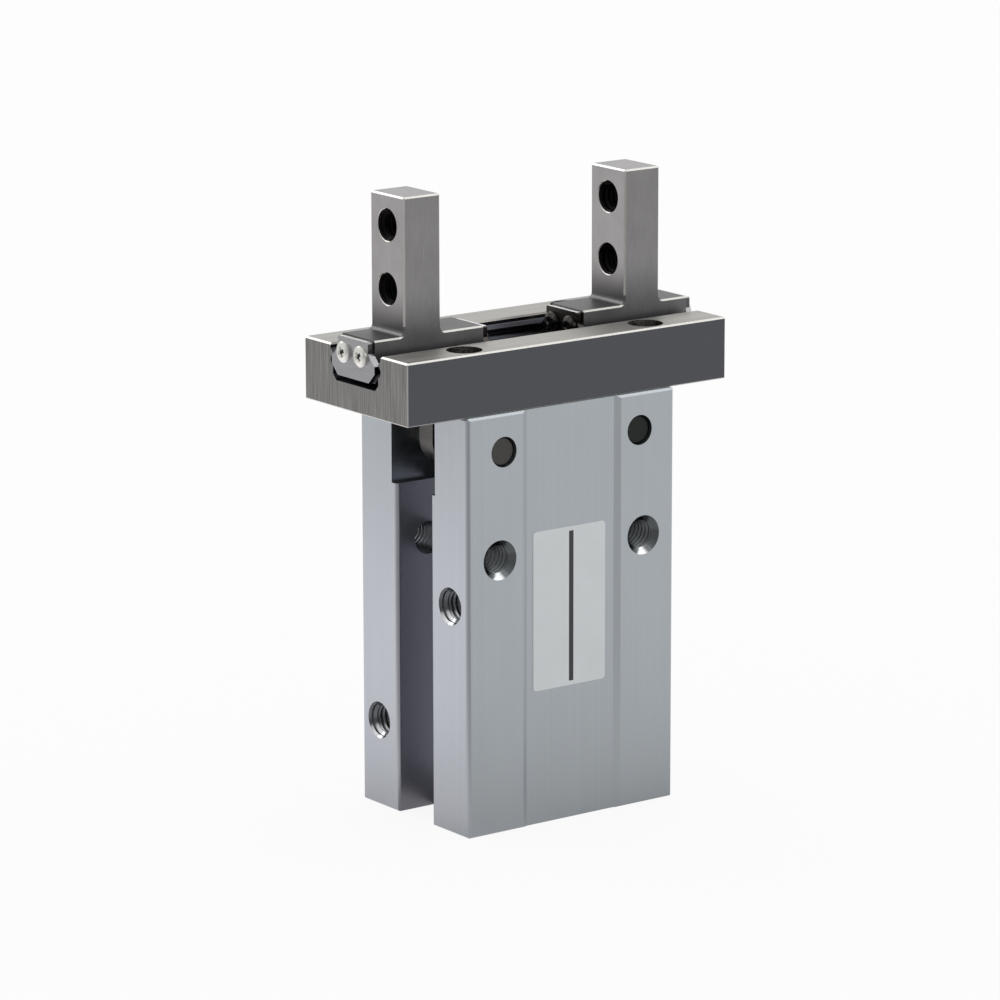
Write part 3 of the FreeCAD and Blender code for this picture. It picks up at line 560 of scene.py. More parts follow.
def plated_screw_steel(colour, inner):
    """Nickel plate on small screws: nearly white, slightly rippled, and painted dark as shade on the inner
    end plates.
    """
    made, tree = start("Nickel plated steel")
    ripple = grain(tree, (0.25 * MM,) * 3)
    plate = tones(tree, colour, ripple, 0.08)
    both = layers(tree, tones(tree, inner, ripple, 0.3), (beyond(tree, X, OUTER_SCREWS), plate))
    coat(tree, both, (0.14, 0.26), ripple, 0.004 * MM)
    return made


def turned_pin_steel(name, colour, centre):
    """Hardened pin, faced on a lathe: dark grey, with rings about its axis and a rough middle."""
    made, tree = start(name)
    # The facing marks are drawn at 0.22 mm, coarser than real, so that they show.
    marks = rings(tree, centre, Y, 0.22 * MM)
    relief = add(tree, MIX, 0.6, marks, grain(tree, (0.2 * MM,) * 3, 3.0))
    coat(tree, tones(tree, colour, relief, 0.18), (0.32, 0.5), relief, 0.004 * MM)
    return made


def turned_aluminium(colour):
    """Aluminium turned about the cylinder's axis and anodised: pale, with fine rings on its flat faces."""
    made, tree = start("Turned aluminium")
    # The tool's feed marks are drawn at 0.25 mm, coarser than real, so that they show.
    marks = rings(tree, Vector((0, 0, 0)), Z, 0.25 * MM)
    relief = add(tree, MIX, 0.4, marks, grain(tree, (0.15 * MM,) * 3))
    coat(tree, tones(tree, colour, relief, 0.08), (0.26, 0.4), relief, 0.004 * MM)
    return made


def one_grain(name, colour, spread, roughness, cell, depth, metallic=1.0, detail=2.0, distortion=0.0):
    """A finish with one pattern of this real cell and depth, for its tones, roughness and relief."""
    made, tree = start(name)
    pattern = grain(tree, cell, detail, distortion)
    coat(tree, tones(tree, colour, pattern, spread), roughness, pattern, depth, metallic)
    return made


def tapped_steel(colour):
    """Cut steel in a tapped hole, painted near black as shade."""
    return one_grain("Tapped steel", colour, 0.15, (0.3, 0.5), (0.08 * MM,) * 3, 0.002 * MM)


def oily_steel(name, colour):
    """Near black steel with a satin oil shine: black oxide, and painted shade in the small screws' recesses.
    """
    return one_grain(name, colour, 0.25, (0.34, 0.5), (0.12 * MM,) * 3, 0.003 * MM, metallic=0.85)


def lever_steel(colour):
    """Hardened lever plate: dark grey ground sides with short crossing strokes."""
    strokes = (1.2 * MM, 0.4 * MM, 0.1 * MM)
    return one_grain(
        "Hardened lever steel", colour, 0.16, (0.3, 0.44), strokes, 0.003 * MM, detail=3.0, distortion=0.4)


def bearing_ball_steel(colour):
    """Polished chrome steel balls: mirror bright, with a trace of oil film."""
    return one_grain("Polished bearing steel", colour, 0.04, (0.05, 0.12), (0.4 * MM,) * 3, 0.0005 * MM)


def phosphated_spring_steel(colour):
    """Phosphated spring steel: dark, matt and finely crystalline."""
    crystals = (0.09 * MM,) * 3
    return one_grain(
        "Phosphated spring steel", colour, 0.22, (0.48, 0.64), crystals, 0.003 * MM, metallic=0.8, detail=4.0)


def moulded_rubber(name, colour, roughness):
    """Moulded rubber: matt, with a fine bloom on the surface."""
    return one_grain(name, colour, 0.18, roughness, (0.3 * MM,) * 3, 0.004 * MM, metallic=0.0, detail=3.0)


def label_film(paper, ink, sizes):
    """Satin polyester label film with one printed rule: pale, slightly glossy, with a faint orange peel."""
    made, tree = start("Printed polyester film")
    peel = grain(tree, (0.35 * MM,) * 3)
    fibres = grain(tree, (3 * MM,) * 3)
    middle = (sizes.label_middle[0] + sizes.rule_shift, 0, sizes.label_middle[1])
    place = add(tree, COORDINATES).outputs["Object"]
    moved = add(tree, VECTOR_MATH, place, middle, operation="SUBTRACT")
    reach = add(tree, VECTOR_MATH, moved, operation="ABSOLUTE")
    parts = add(tree, "ShaderNodeSeparateXYZ", reach).outputs
    across = add(tree, MATH, parts["X"], sizes.rule_width / 2, operation="LESS_THAN")
    along = add(tree, MATH, parts["Z"], sizes.rule_length / 2, operation="LESS_THAN")
    inked = add(tree, MATH, across, along, operation="MULTIPLY")
    printed = layers(tree, tones(tree, paper, fibres, 0.02), (inked, tones(tree, ink, peel, 0.1)))
    coat(tree, printed, (0.32, 0.42), peel, 0.001 * MM, metallic=0.0)
    return made


def dress(material, *names):
    """Gives CAD nodes their finish."""
    for name in names:
        frame["nodes"][name].data.materials[0] = material


def keep(piece, body, slot, *replaced):
    """Ties a finished piece to the body that carries it and hides what it replaces. The slot is not used."""
    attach(piece, body)
    if replaced:
        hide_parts(*replaced)


def geometry_tree(name, labels):
    """A geometry tree with a points input, a float input for each label and two material inputs."""
    tree = bpy.data.node_groups.new(name, "GeometryNodeTree")
    tree.interface.new_socket("Points", in_out="INPUT", socket_type="NodeSocketGeometry")
    for label in labels:
        tree.interface.new_socket(label, in_out="INPUT", socket_type="NodeSocketFloat")
    for label in ("Material", "Accent material"):
        tree.interface.new_socket(label, in_out="INPUT", socket_type="NodeSocketMaterial")
    tree.interface.new_socket("Geometry", in_out="OUTPUT", socket_type="NodeSocketGeometry")
    return tree, add(tree, "NodeGroupInput").outputs


def shares(tree, given, *pairs):
    """Shares of a tree's inputs, each asked for by the input's label and a factor."""
    return [add(tree, MATH, given[label], share, operation="MULTIPLY") for label, share in pairs]


def moved_up(tree, mesh, height):
    """A mesh moved along Z."""
    lift = add(tree, "ShaderNodeCombineXYZ", {"Z": height})
    return add(tree, "GeometryNodeTransform", {"Geometry": mesh, "Translation": lift})


def set_on_points(tree, given, shape, turn):
    """Ends a tree: the shape stands on each point along its axis attribute, turned about it, as real mesh."""
    axis = add(tree, "GeometryNodeInputNamedAttribute", "axis", data_type="FLOAT_VECTOR")
    aim = add(tree, "FunctionNodeAlignRotationToVector", {"Vector": axis}, axis="Z")
    spin = add(tree, "FunctionNodeAxisAngleToRotation", Z, turn)
    turned = add(tree, "FunctionNodeRotateRotation", aim, spin, rotation_space="LOCAL")
    placed = add(tree, "GeometryNodeInstanceOnPoints", {
        "Points": given["Points"], "Instance": shape, "Rotation": turned})
    real = add(tree, "GeometryNodeRealizeInstances", placed)
    coated = add(tree, "GeometryNodeSetMaterial", {"Geometry": real, "Material": given["Material"]})
    accent = add(tree, "GeometryNodeInputNamedAttribute", "accent", data_type="BOOLEAN")
    picked = add(tree, "GeometryNodeSetMaterial", coated, accent, given["Accent material"])
    add(tree, "NodeGroupOutput", picked)


def accented(tree, mesh, faces):
    """Marks faces for the accent material."""
    return add(tree, "GeometryNodeStoreNamedAttribute", {
        "Geometry": mesh, "Name": "accent", "Value": faces}, data_type="BOOLEAN", domain="FACE")


def smooth_but_creased(tree, mesh, crease):
    """Smooth shading with sharp edges where faces meet at more than the crease angle."""
    soft = add(tree, "GeometryNodeSetShadeSmooth", {"Geometry": mesh, "Shade Smooth": True}, domain="FACE")
    bend = add(tree, "GeometryNodeInputMeshEdgeAngle")
    sharp = add(tree, "FunctionNodeCompare", bend, crease, data_type="FLOAT", operation="GREATER_THAN")
    return add(tree, "GeometryNodeSetShadeSmooth", {
        "Geometry": soft, "Selection": sharp, "Shade Smooth": False}, domain="EDGE")


def ridge_section(tree, given, foot, crest):
    """A trapezium of the ridge's height that stands on a hole's wall, for a curve that runs round it."""
    section = add(tree, "GeometryNodeCurvePrimitiveQuadrilateral", {
        "Height": given["Ridge"], "Bottom Width": foot, "Top Width": crest, "Offset": 0.0}, mode="TRAPEZOID")
    # It moves in by a little less than half its height, so that its foot is sunk in the wall.
    inward = add(tree, "ShaderNodeCombineXYZ", {"X": shares(tree, given, ("Ridge", -0.46))[0]})
    return add(tree, "GeometryNodeTransform", {
        "Geometry": section, "Translation": inward, "Rotation": (0, 0, math.pi / 2)})


def thread_tree():
    """A tapped thread: a countersunk lead-in, then a ridge that winds down and fades out at both ends."""
    tree, given = geometry_tree("Tapped thread", ("Radius", "Ridge", "Pitch", "Length"))
    crest, lip, slope, drop = shares(
        tree, given, ("Pitch", 0.2), ("Ridge", 0.2), ("Ridge", 2.2), ("Ridge", 1.1))
    turns = add(tree, MATH, given["Length"], given["Pitch"], operation="DIVIDE")
    helix = add(tree, "GeometryNodeCurveSpiral", {
        "Resolution": 40, "Rotations": turns, "Start Radius": given["Radius"], "End Radius": given["Radius"],
        "Height": given["Length"], "Reverse": True})
    upright = add(tree, "GeometryNodeSetCurveNormal", helix, mode="Z_UP")
    along = add(tree, "GeometryNodeSplineParameter")
    back = add(tree, MATH, 1.0, along, operation="SUBTRACT")
    nearer = add(tree, MATH, along, back, operation="MINIMUM")
    end_turns = add(tree, MATH, nearer, turns, operation="MULTIPLY")
    fade = add(tree, MAP_RANGE, {"Value": end_turns, "From Max": 0.7, "To Min": 0.05})
    wound = add(tree, "GeometryNodeCurveToMesh", {
        "Curve": upright, "Profile Curve": ridge_section(tree, given, given["Pitch"], crest), "Scale": fade,
        "Fill Caps": True})
    # The lead-in carries the countersink's slope on to the height of the ridge, all round the hole.
    circle = add(tree, "GeometryNodeCurvePrimitiveCircle", {
        "Resolution": 64, "Radius": given["Radius"]}, mode="RADIUS")
    level = add(tree, "GeometryNodeSetCurveNormal", circle, mode="Z_UP")
    ring = add(tree, "GeometryNodeCurveToMesh", level, ridge_section(tree, given, slope, lip))
    lead_in = accented(tree, moved_up(tree, ring, drop), True)
    whole = add(tree, "GeometryNodeJoinGeometry", [wound, lead_in])
    set_on_points(tree, given, smooth_but_creased(tree, whole, math.radians(35)), 0.0)
    return tree


def cross_screw_tree():
    """A small pan head screw with a crowned top, a tapered cross recess and its own turn about its axis."""
    labels = ("Radius", "Height", "Crown", "Reach", "Slot", "Depth", "Shank radius", "Shank length")
    tree, given = geometry_tree("Cross recess screw", labels)
    rise, half, deep, within, hang = shares(
        tree, given, ("Height", 0.5), ("Depth", 0.5), ("Depth", 1.02), ("Reach", 0.52),
        ("Shank length", -0.5))
    disc = add(tree, "GeometryNodeMeshCylinder", {
        "Vertices": 48, "Side Segments": 1, "Fill Segments": 10, "Radius": given["Radius"],
        "Depth": given["Height"]})
    place = add(tree, "GeometryNodeInputPosition")
    height = add(tree, "ShaderNodeSeparateXYZ", place).outputs["Z"]
    level = add(tree, MATH, height, given["Height"], operation="DIVIDE")
    reach = off_axis(tree, place, (0, 0, 0), Z)
    # The top is nearly flat in the middle and falls steeply to the rim.
    share = add(tree, MATH, reach, given["Radius"], operation="DIVIDE")
    steep = add(tree, MATH, share, 4.0, operation="POWER")
    fall = add(tree, MATH, steep, level, operation="MULTIPLY")
    drop = add(tree, MATH, fall, given["Crown"], operation="MULTIPLY")
    down = add(tree, MATH, drop, -1.0, operation="MULTIPLY")
    offset = add(tree, "ShaderNodeCombineXYZ", {"Z": down})
    head = add(tree, "GeometryNodeSetPosition", {"Geometry": moved_up(tree, disc, rise), "Offset": offset})
    # A four-sided frustum one unit wide at its top, turned square to the axes, is one arm before it is sized.
    wide = math.sqrt(0.5)
    frustum = add(tree, "GeometryNodeMeshCone", {
        "Vertices": 4, "Radius Top": wide, "Radius Bottom": wide * 0.6, "Depth": 1.0})
    square = add(tree, "GeometryNodeTransform", {"Geometry": frustum, "Rotation": (0, 0, math.pi / 4)})
    sunk = add(tree, MATH, given["Height"], half, operation="SUBTRACT")
    middle = add(tree, "ShaderNodeCombineXYZ", {"Z": sunk})
    arms = []
    for x, y in (("Reach", "Slot"), ("Slot", "Reach")):
        size = add(tree, "ShaderNodeCombineXYZ", given[x], given[y], deep)
        arms.append(add(tree, "GeometryNodeTransform", {
            "Geometry": square, "Translation": middle, "Scale": size}))
    cut = add(tree, "GeometryNodeMeshBoolean", head, arms, operation="DIFFERENCE", solver="EXACT")
    # The recess is what lies under the crown within its reach.
    central = add(tree, MATH, reach, within, operation="LESS_THAN")
    sunken = add(tree, MATH, level, 0.45, 0.43, operation="COMPARE")
    hollow = add(tree, MATH, central, sunken, operation="MULTIPLY")
    shank = add(tree, "GeometryNodeMeshCylinder", {
        "Vertices": 24, "Radius": given["Shank radius"], "Depth": given["Shank length"]})
    whole = add(tree, "GeometryNodeJoinGeometry", [accented(tree, cut, hollow), moved_up(tree, shank, hang)])
    turn = add(tree, "FunctionNodeRandomValue", {"Min": 0.0, "Max": math.pi, "Seed": 4}, data_type="FLOAT")
    set_on_points(tree, given, smooth_but_creased(tree, whole, math.radians(38)), turn)
    return tree


def grow(name, tree, places, values):
    """A plain mesh that a tree grows at places, which are pairs of a point and an axis."""
    points = bpy.data.meshes.new(name + "_points")
    points.from_pydata([point for point, _ in places], [], [])
    axes = points.attributes.new("axis", "FLOAT_VECTOR", "POINT")
    axes.data.foreach_set("vector", [part for _, axis in places for part in axis])
    piece = bpy.data.objects.new(name, points)
    bpy.context.scene.collection.objects.link(piece)
    growth = piece.modifiers.new("Growth", "NODES")
    growth.node_group = tree
    inputs = {item.name: item.identifier for item in tree.interface.items_tree if item.in_out == "INPUT"}
    for label, value in values.items():
        growth[inputs[label]] = value
    grown = piece.evaluated_get(bpy.context.evaluated_depsgraph_get())
    mesh = bpy.data.meshes.new_from_object(grown)
    if mesh.materials[0] is None:
        mesh.materials.pop(index=0)
    piece.modifiers.clear()
    piece.data = mesh
    bpy.data.meshes.remove(points)
    if not mesh.polygons:
        raise RuntimeError(f"{name} has no faces")
    mesh.name = name
    return piece


def hole_places(name):
    """The mouths of a mount's holes, each with the axis that points out of the hole."""
    mount = mounts[name]
    axis = Vector(mount["axis"])
    middle = Vector(mount["pos_m"])
    across = Y if abs(axis.x) > 0.5 else X
    upward = Y if abs(axis.z) > 0.5 else Z
    half_x = mount["dims"].get("spacing_x_mm", 0) * MM / 2
    half_y = mount["dims"].get("spacing_y_mm", 0) * MM / 2
    offsets = {(x, y) for x in (-half_x, half_x) for y in (-half_y, half_y)}
    return [(middle + across * x + upward * y, axis) for x, y in sorted(offsets)]


def thread_places(name, depth):
    """Where a mount's threads begin, at a depth under the mouths, and the axis into each hole."""
    half_length = mounts[name]["dims"].get("length_mm", 0) * MM / 2
    return [(mouth + axis * (half_length - depth), -axis) for mouth, axis in hole_places(name)]


class GRIPPER_OT_housing(bpy.types.Operator):
    """Finish the extruded housing"""

    bl_idname = "gripper.housing"
    bl_label = "Housing"

    def execute(self, context):
        colours = context.scene.gripper_colours
        sizes = context.scene.gripper_sizes
        holes = [(place, Y) for place, _ in hole_places("front_mount")]
        holes += [(place, X) for port in ("opening_port", "closing_port") for place, _ in hole_places(port)]
        finish = anodised_extrusion(colours, sizes.half_slot, holes, sizes.body_mouth_radius)
        dress(finish, "body_block")
        return {"FINISHED"}


class GRIPPER_OT_guide(bpy.types.Operator):
    """Finish the guide rail, its screws and its dowels"""

    bl_idname = "gripper.guide"
    bl_label = "Guide rail"

    def execute(self, context):
        colours = context.scene.gripper_colours
        sizes = context.scene.gripper_sizes
        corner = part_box("guide_rail")[1]
        dress(guide_rail_steel(colours, corner, sizes.half_channel, sizes.channel_depth), "guide_rail")
        dress(oily_steel("Black oxide steel", colours.oxide), "guide_screws")
        dress(lever_steel(colours.lever), "guide_dowels")
        return {"FINISHED"}


class GRIPPER_OT_fingers(bpy.types.Operator):
    """Finish the fingers, their carriages, end plates and balls"""

    bl_idname = "gripper.fingers"
    bl_label = "Fingers"

    def execute(self, context):
        colours = context.scene.gripper_colours
        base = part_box("ball_stop_left_outer")[1].z
        holes = [mouth for mouth, _ in hole_places("finger_mount_left")]
        steel = finger_steel(colours, base, holes, context.scene.gripper_sizes.finger_mouth_radius)
        dress(steel, "finger_left", "finger_right")
        # The end plates' tops carry a painted highlight.
        plain = rolled_sheet("Rolled stainless sheet", colours.stop, colours.painted_plate_highlight)
        dress(plain, "ball_stop_left_outer", "ball_stop_right_outer")
        # The inner end plates are painted dark as shade.
        painted_shade = rolled_sheet("Oily stainless sheet", colours.inner, colours.painted_plate_highlight)
        dress(painted_shade, "ball_stop_left_inner", "ball_stop_right_inner")
        rows = [f"balls_{side}_{row}" for side in ("left", "right") for row in ("front", "back")]
        dress(bearing_ball_steel(colours.ball), *rows)
        return {"FINISHED"}


class GRIPPER_OT_mechanism(bpy.types.Operator):
    """Finish the levers, pins, piston and what closes the cylinder"""

    bl_idname = "gripper.mechanism"
    bl_label = "Mechanism"

    def execute(self, context):
        colours = context.scene.gripper_colours
        # The right pin is painted darker than the left, as shade.
        for side, colour in (("left", colours.pin_left), ("right", colours.pin_right)):
            low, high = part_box("lever_pin_" + side)
            steel = turned_pin_steel(f"Hardened {side} pin steel", colour, (low + high) / 2)
            dress(steel, "lever_pin_" + side)
        dress(lever_steel(colours.lever), "lever_left", "lever_right")
        dress(turned_aluminium(colours.turned), "piston_rod", "end_cap")
        dress(phosphated_spring_steel(colours.spring), "retaining_ring")
        nitrile = moulded_rubber("Nitrile rubber", colours.rubber, (0.5, 0.64))
        dress(nitrile, "piston_seal", "rod_seal", "cap_o_ring")
        dress(moulded_rubber("Urethane rubber", colours.bumper, (0.36, 0.5)), "bumper")
        dress(moulded_rubber("Bonded magnet rubber", colours.magnet, (0.44, 0.56)), "piston_magnet")
        return {"FINISHED"}


class GRIPPER_OT_threads(bpy.types.Operator):
    """Cut the threads of the tapped holes"""

    bl_idname = "gripper.threads"
    bl_label = "Threads"

    def execute(self, context):
        sizes = context.scene.gripper_sizes
        colours = context.scene.gripper_colours
        tree = thread_tree()
        # The body's tapped holes are painted dark as shade, with a painted highlight on the mouths' lower
        # sides.
        tapped = cut_aluminium("Tapped aluminium", colours.tapped_body, colours.painted_highlight, (0.24, 0.42))
        countersunk = cut_aluminium("Countersunk aluminium", colours.countersunk, colours.painted_highlight, (0.14, 0.2))
        painted_hole_shade = tapped_steel(colours.tapped_finger)
        coarse = (sizes.body_thread_pitch, tapped, countersunk, "body_anodised")
        fine = (sizes.finger_thread_length, sizes.finger_thread_pitch, painted_hole_shade, painted_hole_shade, "finger_steel")
        rows = (
            ("threads_front", "housing", ["front_mount"], sizes.wall_thread_length, *coarse),
            ("threads_back", "housing", ["back_mount"], sizes.wall_thread_length, *coarse),
            ("threads_base", "housing", ["base_mount"], sizes.base_thread_length, *coarse),
            ("threads_ports", "housing", ["opening_port", "closing_port"], sizes.port_thread_length, *coarse),
            ("threads_finger_left", "finger_left", ["finger_mount_left"], *fine),
            ("threads_finger_right", "finger_right", ["finger_mount_right"], *fine),
        )
        for name, body, holes, tapped_length, pitch, metal, mouth, slot in rows:
            places = [place for mount in holes for place in thread_places(mount, sizes.thread_start)]
            dims = mounts[holes[0]]["dims"]
            piece = grow(name, tree, places, {
                "Radius": dims.get("hole_r_mm", dims.get("r_mm")) * MM, "Ridge": pitch * sizes.thread_ridge,
                "Pitch": pitch, "Length": tapped_length, "Material": metal, "Accent material": mouth})
            keep(piece, body, slot)
        return {"FINISHED"}


class GRIPPER_OT_stop_screws(bpy.types.Operator):
    """Fit the cross recess screws of the end plates"""

    bl_idname = "gripper.stop_screws"
    bl_label = "End plate screws"

    def execute(self, context):
        sizes = context.scene.gripper_sizes
        colours = context.scene.gripper_colours
        tree = cross_screw_tree()
        bright = plated_screw_steel(colours.bright, colours.inner)
        # The small screws' recesses are painted dark as shade.
        painted_recess_shade = oily_steel("Dirty screw recess", colours.recess)
        for side in ("left", "right"):
            node = "stop_screws_" + side
            low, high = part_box(node)
            half_spacing = high.y - sizes.screw_head_radius
            height = (low.z + high.z) / 2
            seats = ((low.x + sizes.screw_head_height, -X), (high.x - sizes.screw_head_height, X))
            places = [
                (Vector((seat, y, height)), outward)
                for seat, outward in seats for y in (-half_spacing, half_spacing)]
            piece = grow("cross_screws_" + side, tree, places, {
                "Radius": sizes.screw_head_radius, "Height": sizes.screw_head_height,
                "Crown": sizes.screw_crown, "Reach": sizes.cross_reach, "Slot": sizes.cross_slot,
                "Depth": sizes.cross_depth, "Shank radius": sizes.screw_shank_radius,
                "Shank length": sizes.screw_shank_length, "Material": bright, "Accent material": painted_recess_shade})
            keep(piece, "finger_" + side, "small_screw_steel", node)
        return {"FINISHED"}


class GRIPPER_OT_label(bpy.types.Operator):
    """Stick the bare label on the front"""

    bl_idname = "gripper.label"
    bl_label = "Label"

    def execute(self, context):
        sizes = context.scene.gripper_sizes
        colours = context.scene.gripper_colours
        mesh = bpy.data.meshes.new("front_label")
        front = bmesh.new()
        face_y = cad_low.y + sizes.band_depth
        corner = sizes.label_corner
        outline = []
        for quarter in range(4):
            side_x = 1 if quarter in (0, 3) else -1
            side_z = 1 if quarter in (0, 1) else -1
            middle_x = sizes.label_middle[0] + side_x * (sizes.label_size[0] / 2 - corner)
            middle_z = sizes.label_middle[1] + side_z * (sizes.label_size[1] / 2 - corner)
            for step in range(CORNER_STEPS + 1):
                turn = math.pi / 2 * (quarter + step / CORNER_STEPS)
                x = middle_x + corner * math.cos(turn)
                z = middle_z + corner * math.sin(turn)
                outline.append(front.verts.new((x, face_y, z)))
        film = front.faces.new(outline)
        raised = bmesh.ops.extrude_face_region(front, geom=[film])
        lifted = [part for part in raised["geom"] if isinstance(part, bmesh.types.BMVert)]
        bmesh.ops.translate(front, verts=lifted, vec=-Y * sizes.label_thickness)
        rim = [edge for edge in front.edges if all(vert in lifted for vert in edge.verts)]
        bevel = sizes.label_thickness / 3
        bmesh.ops.bevel(front, geom=rim, offset=bevel, segments=2, affect="EDGES", profile=0.5)
        bmesh.ops.recalc_face_normals(front, faces=front.faces)
        front.to_mesh(mesh)
        front.free()
        mesh.materials.append(label_film(colours.label, colours.ink, sizes))
        piece = bpy.data.objects.new("front_label", mesh)
        context.scene.collection.objects.link(piece)
        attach(piece, "housing")
        return {"FINISHED"}


def tell_rays(tree):
    """A pair of values: 1 for rays from the camera, and 1 for rays by way of a mirror or glass."""
    ray = add(tree, "ShaderNodeLightPath").outputs
    mirrored = add(tree, MATH, ray["Is Glossy Ray"], ray["Is Transmission Ray"], operation="MAXIMUM")
    return ray["Is Camera Ray"], mirrored


def room_light(tree, direction, view, top):
    """How bright a direction is in reflections: top all round, and dimmer on the dark side of the room."""
    heading = add(tree, VECTOR_MATH, direction, operation="NORMALIZE")
    dark_side = (math.sin(view.room_azimuth), -math.cos(view.room_azimuth), 0)
    along = add(tree, VECTOR_MATH, heading, dark_side, operation="DOT_PRODUCT")
    return add(tree, MAP_RANGE, along, *DARK_SIDE, top, top * view.room)


def mirrored_paper(tree, view, footprint):
    """How bright the floor is in reflections, dim where the base meets it, and where a card lies on it."""
    place = add(tree, COORDINATES).outputs["Object"]
    card_side = (math.sin(view.azimuth), math.cos(view.azimuth), 0)
    along = add(tree, VECTOR_MATH, place, card_side, operation="DOT_PRODUCT")
    begun = add(tree, MAP_RANGE, along, *CARD_EDGE, interpolation_type="SMOOTHSTEP")
    last = view.card_reach
    ended = add(
        tree, MAP_RANGE, along, last * 0.75, last * 1.25, 1.0, 0.0, interpolation_type="SMOOTHSTEP")
    on_card = add(tree, MATH, begun, ended, operation="MULTIPLY")
    card = add(tree, MAP_RANGE, {"Value": on_card, "To Min": view.paper})
    # The dark side of the room shows in the floor only some way off.
    off = add(tree, VECTOR_MATH, place, operation="LENGTH")
    away = add(tree, MAP_RANGE, off, *ROOM_IN_FLOOR, interpolation_type="SMOOTHSTEP")
    room = add(tree, MIX, away, 1.0, room_light(tree, place, view, 1.0))
    # A painted shadow dims the floor round the base, less and less with the gap.
    side = add(tree, VECTOR_MATH, place, operation="ABSOLUTE")
    over = add(tree, VECTOR_MATH, side, footprint, operation="SUBTRACT")
    outside = add(tree, VECTOR_MATH, over, (0, 0, 0), operation="MAXIMUM")
    gap = add(tree, VECTOR_MATH, outside, operation="LENGTH")
    share = add(tree, MATH, gap, -1 / view.contact_reach, operation="MULTIPLY")
    near = add(tree, MATH, share, operation="EXPONENT")
    painted_contact_shadow = add(tree, MAP_RANGE, {"Value": near, "To Min": 1.0, "To Max": view.painted_contact_shadow})
    lit = add(tree, MATH, card, room, operation="MULTIPLY")
    return add(tree, MATH, lit, painted_contact_shadow, operation="MULTIPLY"), on_card


def paper_floor(view, colours, footprint):
    """Seamless white paper: matt, and white to the camera apart from the soft shadow that it keeps."""
    made, tree = start("White studio paper")
    fibres = grain(tree, (0.8 * MM,) * 3, 3.0)
    paper = add(tree, "ShaderNodeBsdfDiffuse", tones(tree, colours.floor, fibres, 0.01))
    from_camera, mirrored = tell_rays(tree)
    seen = add(tree, MATH, from_camera, FLOOR_WHITE, operation="MULTIPLY")
    level, on_card = mirrored_paper(tree, view, footprint)
    strength = add(tree, MIX, mirrored, 1.0, level)
    tinted = add(tree, MATH, mirrored, on_card, operation="MULTIPLY")
    tint = layers(tree, (*linear(WHITE), 1.0), (tinted, (*colours.card, 1.0)))
    glow = add(tree, "ShaderNodeEmission", tint, strength)
    share = add(tree, MATH, seen, mirrored, operation="MAXIMUM")
    above = add(tree, "ShaderNodeMixShader", share, paper, glow)
    # Seen from below the paper lets the view through, so that the base can be looked at.
    back = add(tree, "ShaderNodeNewGeometry").outputs["Backfacing"]
    under = add(tree, MATH, back, from_camera, operation="MULTIPLY")
    sheet = add(tree, "ShaderNodeMixShader", under, above, add(tree, "ShaderNodeBsdfTransparent"))
    add(tree, "ShaderNodeOutputMaterial", sheet)
    return made


def white_surround(scene, view):
    """A white world to the camera and in reflections, and an even fill for matt surfaces."""
    scene.world = bpy.data.worlds.new("White surround")
    tree = empty_tree(scene.world)
    from_camera, mirrored = tell_rays(tree)
    direction = add(tree, COORDINATES).outputs["Generated"]
    room = add(tree, MIX, mirrored, view.fill, room_light(tree, direction, view, view.sky))
    level = add(tree, MIX, from_camera, room, 1.0)
    sky = add(tree, "ShaderNodeBackground", (*linear(WHITE), 1.0), level)
    add(tree, "ShaderNodeOutputWorld", sky)


def soft_box(scene, name, place, target, width, height, power):
    """A large soft lamp that faces a target and isn't seen by the camera."""
    light = bpy.data.lights.new(name, "AREA")
    light.shape = "RECTANGLE"
    light.size = width
    light.size_y = height
    light.energy = power
    lamp = bpy.data.objects.new(name, light)
    lamp.location = place
    lamp.rotation_euler = (target - place).to_track_quat("-Z", "Y").to_euler()
    lamp.visible_camera = False
    scene.collection.objects.link(lamp)


def aim_camera(scene, view):
    """A long lens at the photograph's angle."""
    azimuth = view.azimuth
    elevation = view.elevation
    back = Vector((
        math.sin(azimuth) * math.cos(elevation), -math.cos(azimuth) * math.cos(elevation),
        math.sin(elevation)))
    level = Vector((math.cos(azimuth), math.sin(azimuth), 0))
    upright = back.cross(level)
    right = level * math.cos(view.roll) + upright * math.sin(view.roll)
    up = upright * math.cos(view.roll) - level * math.sin(view.roll)
    target = Z * view.target_height + right * view.target_shift[0] + up * view.target_shift[1]
    lens = bpy.data.cameras.new("Studio camera")
    lens.sensor_width = view.sensor_width
    lens.lens = view.lens
    lens.clip_start = CLIP_NEAR
    lens.clip_end = CLIP_FAR
    camera = bpy.data.objects.new("Studio camera", lens)
    turn = Matrix((right, up, back)).transposed().to_4x4()
    camera.matrix_world = Matrix.Translation(target + back * view.distance) @ turn
    scene.collection.objects.link(camera)
    scene.camera = camera


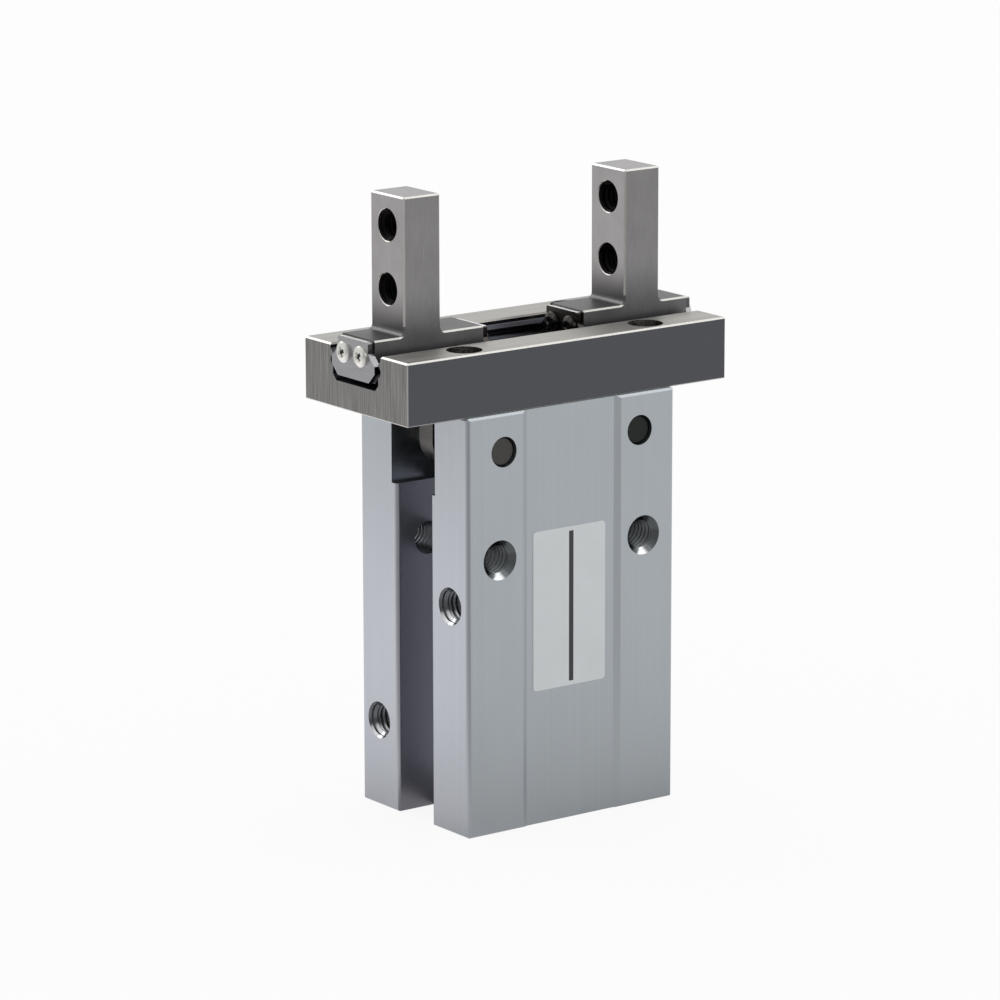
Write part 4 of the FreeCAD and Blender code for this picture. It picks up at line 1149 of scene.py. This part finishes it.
class GRIPPER_OT_stage(bpy.types.Operator):
    """Set the floor, the light and the camera"""

    bl_idname = "gripper.stage"
    bl_label = "Stage"

    def execute(self, context):
        scene = context.scene
        view = scene.gripper_view
        scene.view_settings.view_transform = "Standard"
        reach = view.floor_size / 2
        square = ((-reach, -reach), (reach, -reach), (reach, reach), (-reach, reach))
        corners = [(x, y, -FLOOR_GAP) for x, y in square]
        mesh = bpy.data.meshes.new("studio_floor")
        mesh.from_pydata(corners, [], [(0, 1, 2, 3)])
        mesh.materials.append(paper_floor(view, scene.gripper_colours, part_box("body_block")[1]))
        floor = bpy.data.objects.new("studio_floor", mesh)
        scene.collection.objects.link(floor)
        white_surround(scene, view)
        middle = (cad_low + cad_high) / 2
        for name, power, place, width, height in LAMPS:
            soft_box(scene, name, Vector(place), middle, width, height, getattr(view, power))
        aim_camera(scene, view)
        return {"FINISHED"}


class GRIPPER_PT_panel(bpy.types.Panel):
    """The gripper's pieces, sizes, colours and studio"""

    bl_idname = "GRIPPER_PT_panel"
    bl_label = "Parallel gripper"
    bl_space_type = "VIEW_3D"
    bl_region_type = "UI"
    bl_category = "Gripper"

    def draw(self, context):
        for operator in OPERATORS:
            self.layout.operator(operator.bl_idname)
        for group in (context.scene.gripper_sizes, context.scene.gripper_colours, context.scene.gripper_view):
            box = self.layout.box()
            for name in group.__annotations__:
                box.prop(group, name)


GROUPS = {"gripper_sizes": GripperSizes, "gripper_colours": GripperColours, "gripper_view": GripperView}
OPERATORS = (
    GRIPPER_OT_housing, GRIPPER_OT_guide, GRIPPER_OT_fingers, GRIPPER_OT_mechanism, GRIPPER_OT_threads,
    GRIPPER_OT_stop_screws, GRIPPER_OT_label, GRIPPER_OT_stage)


def register():
    for group in GROUPS.values():
        bpy.utils.register_class(group)
    for operator in OPERATORS:
        bpy.utils.register_class(operator)
    bpy.utils.register_class(GRIPPER_PT_panel)
    for name, group in GROUPS.items():
        setattr(bpy.types.Scene, name, bpy.props.PointerProperty(type=group))


def unregister():
    for name in GROUPS:
        delattr(bpy.types.Scene, name)
    bpy.utils.unregister_class(GRIPPER_PT_panel)
    for operator in reversed(OPERATORS):
        bpy.utils.unregister_class(operator)
    for group in reversed(GROUPS.values()):
        bpy.utils.unregister_class(group)


def main():
    register()
    bpy.ops.gripper.housing()
    bpy.ops.gripper.guide()
    bpy.ops.gripper.fingers()
    bpy.ops.gripper.mechanism()
    bpy.ops.gripper.threads()
    bpy.ops.gripper.stop_screws()
    bpy.ops.gripper.label()
    bpy.ops.gripper.stage()


if __name__ == "__main__":
    main()
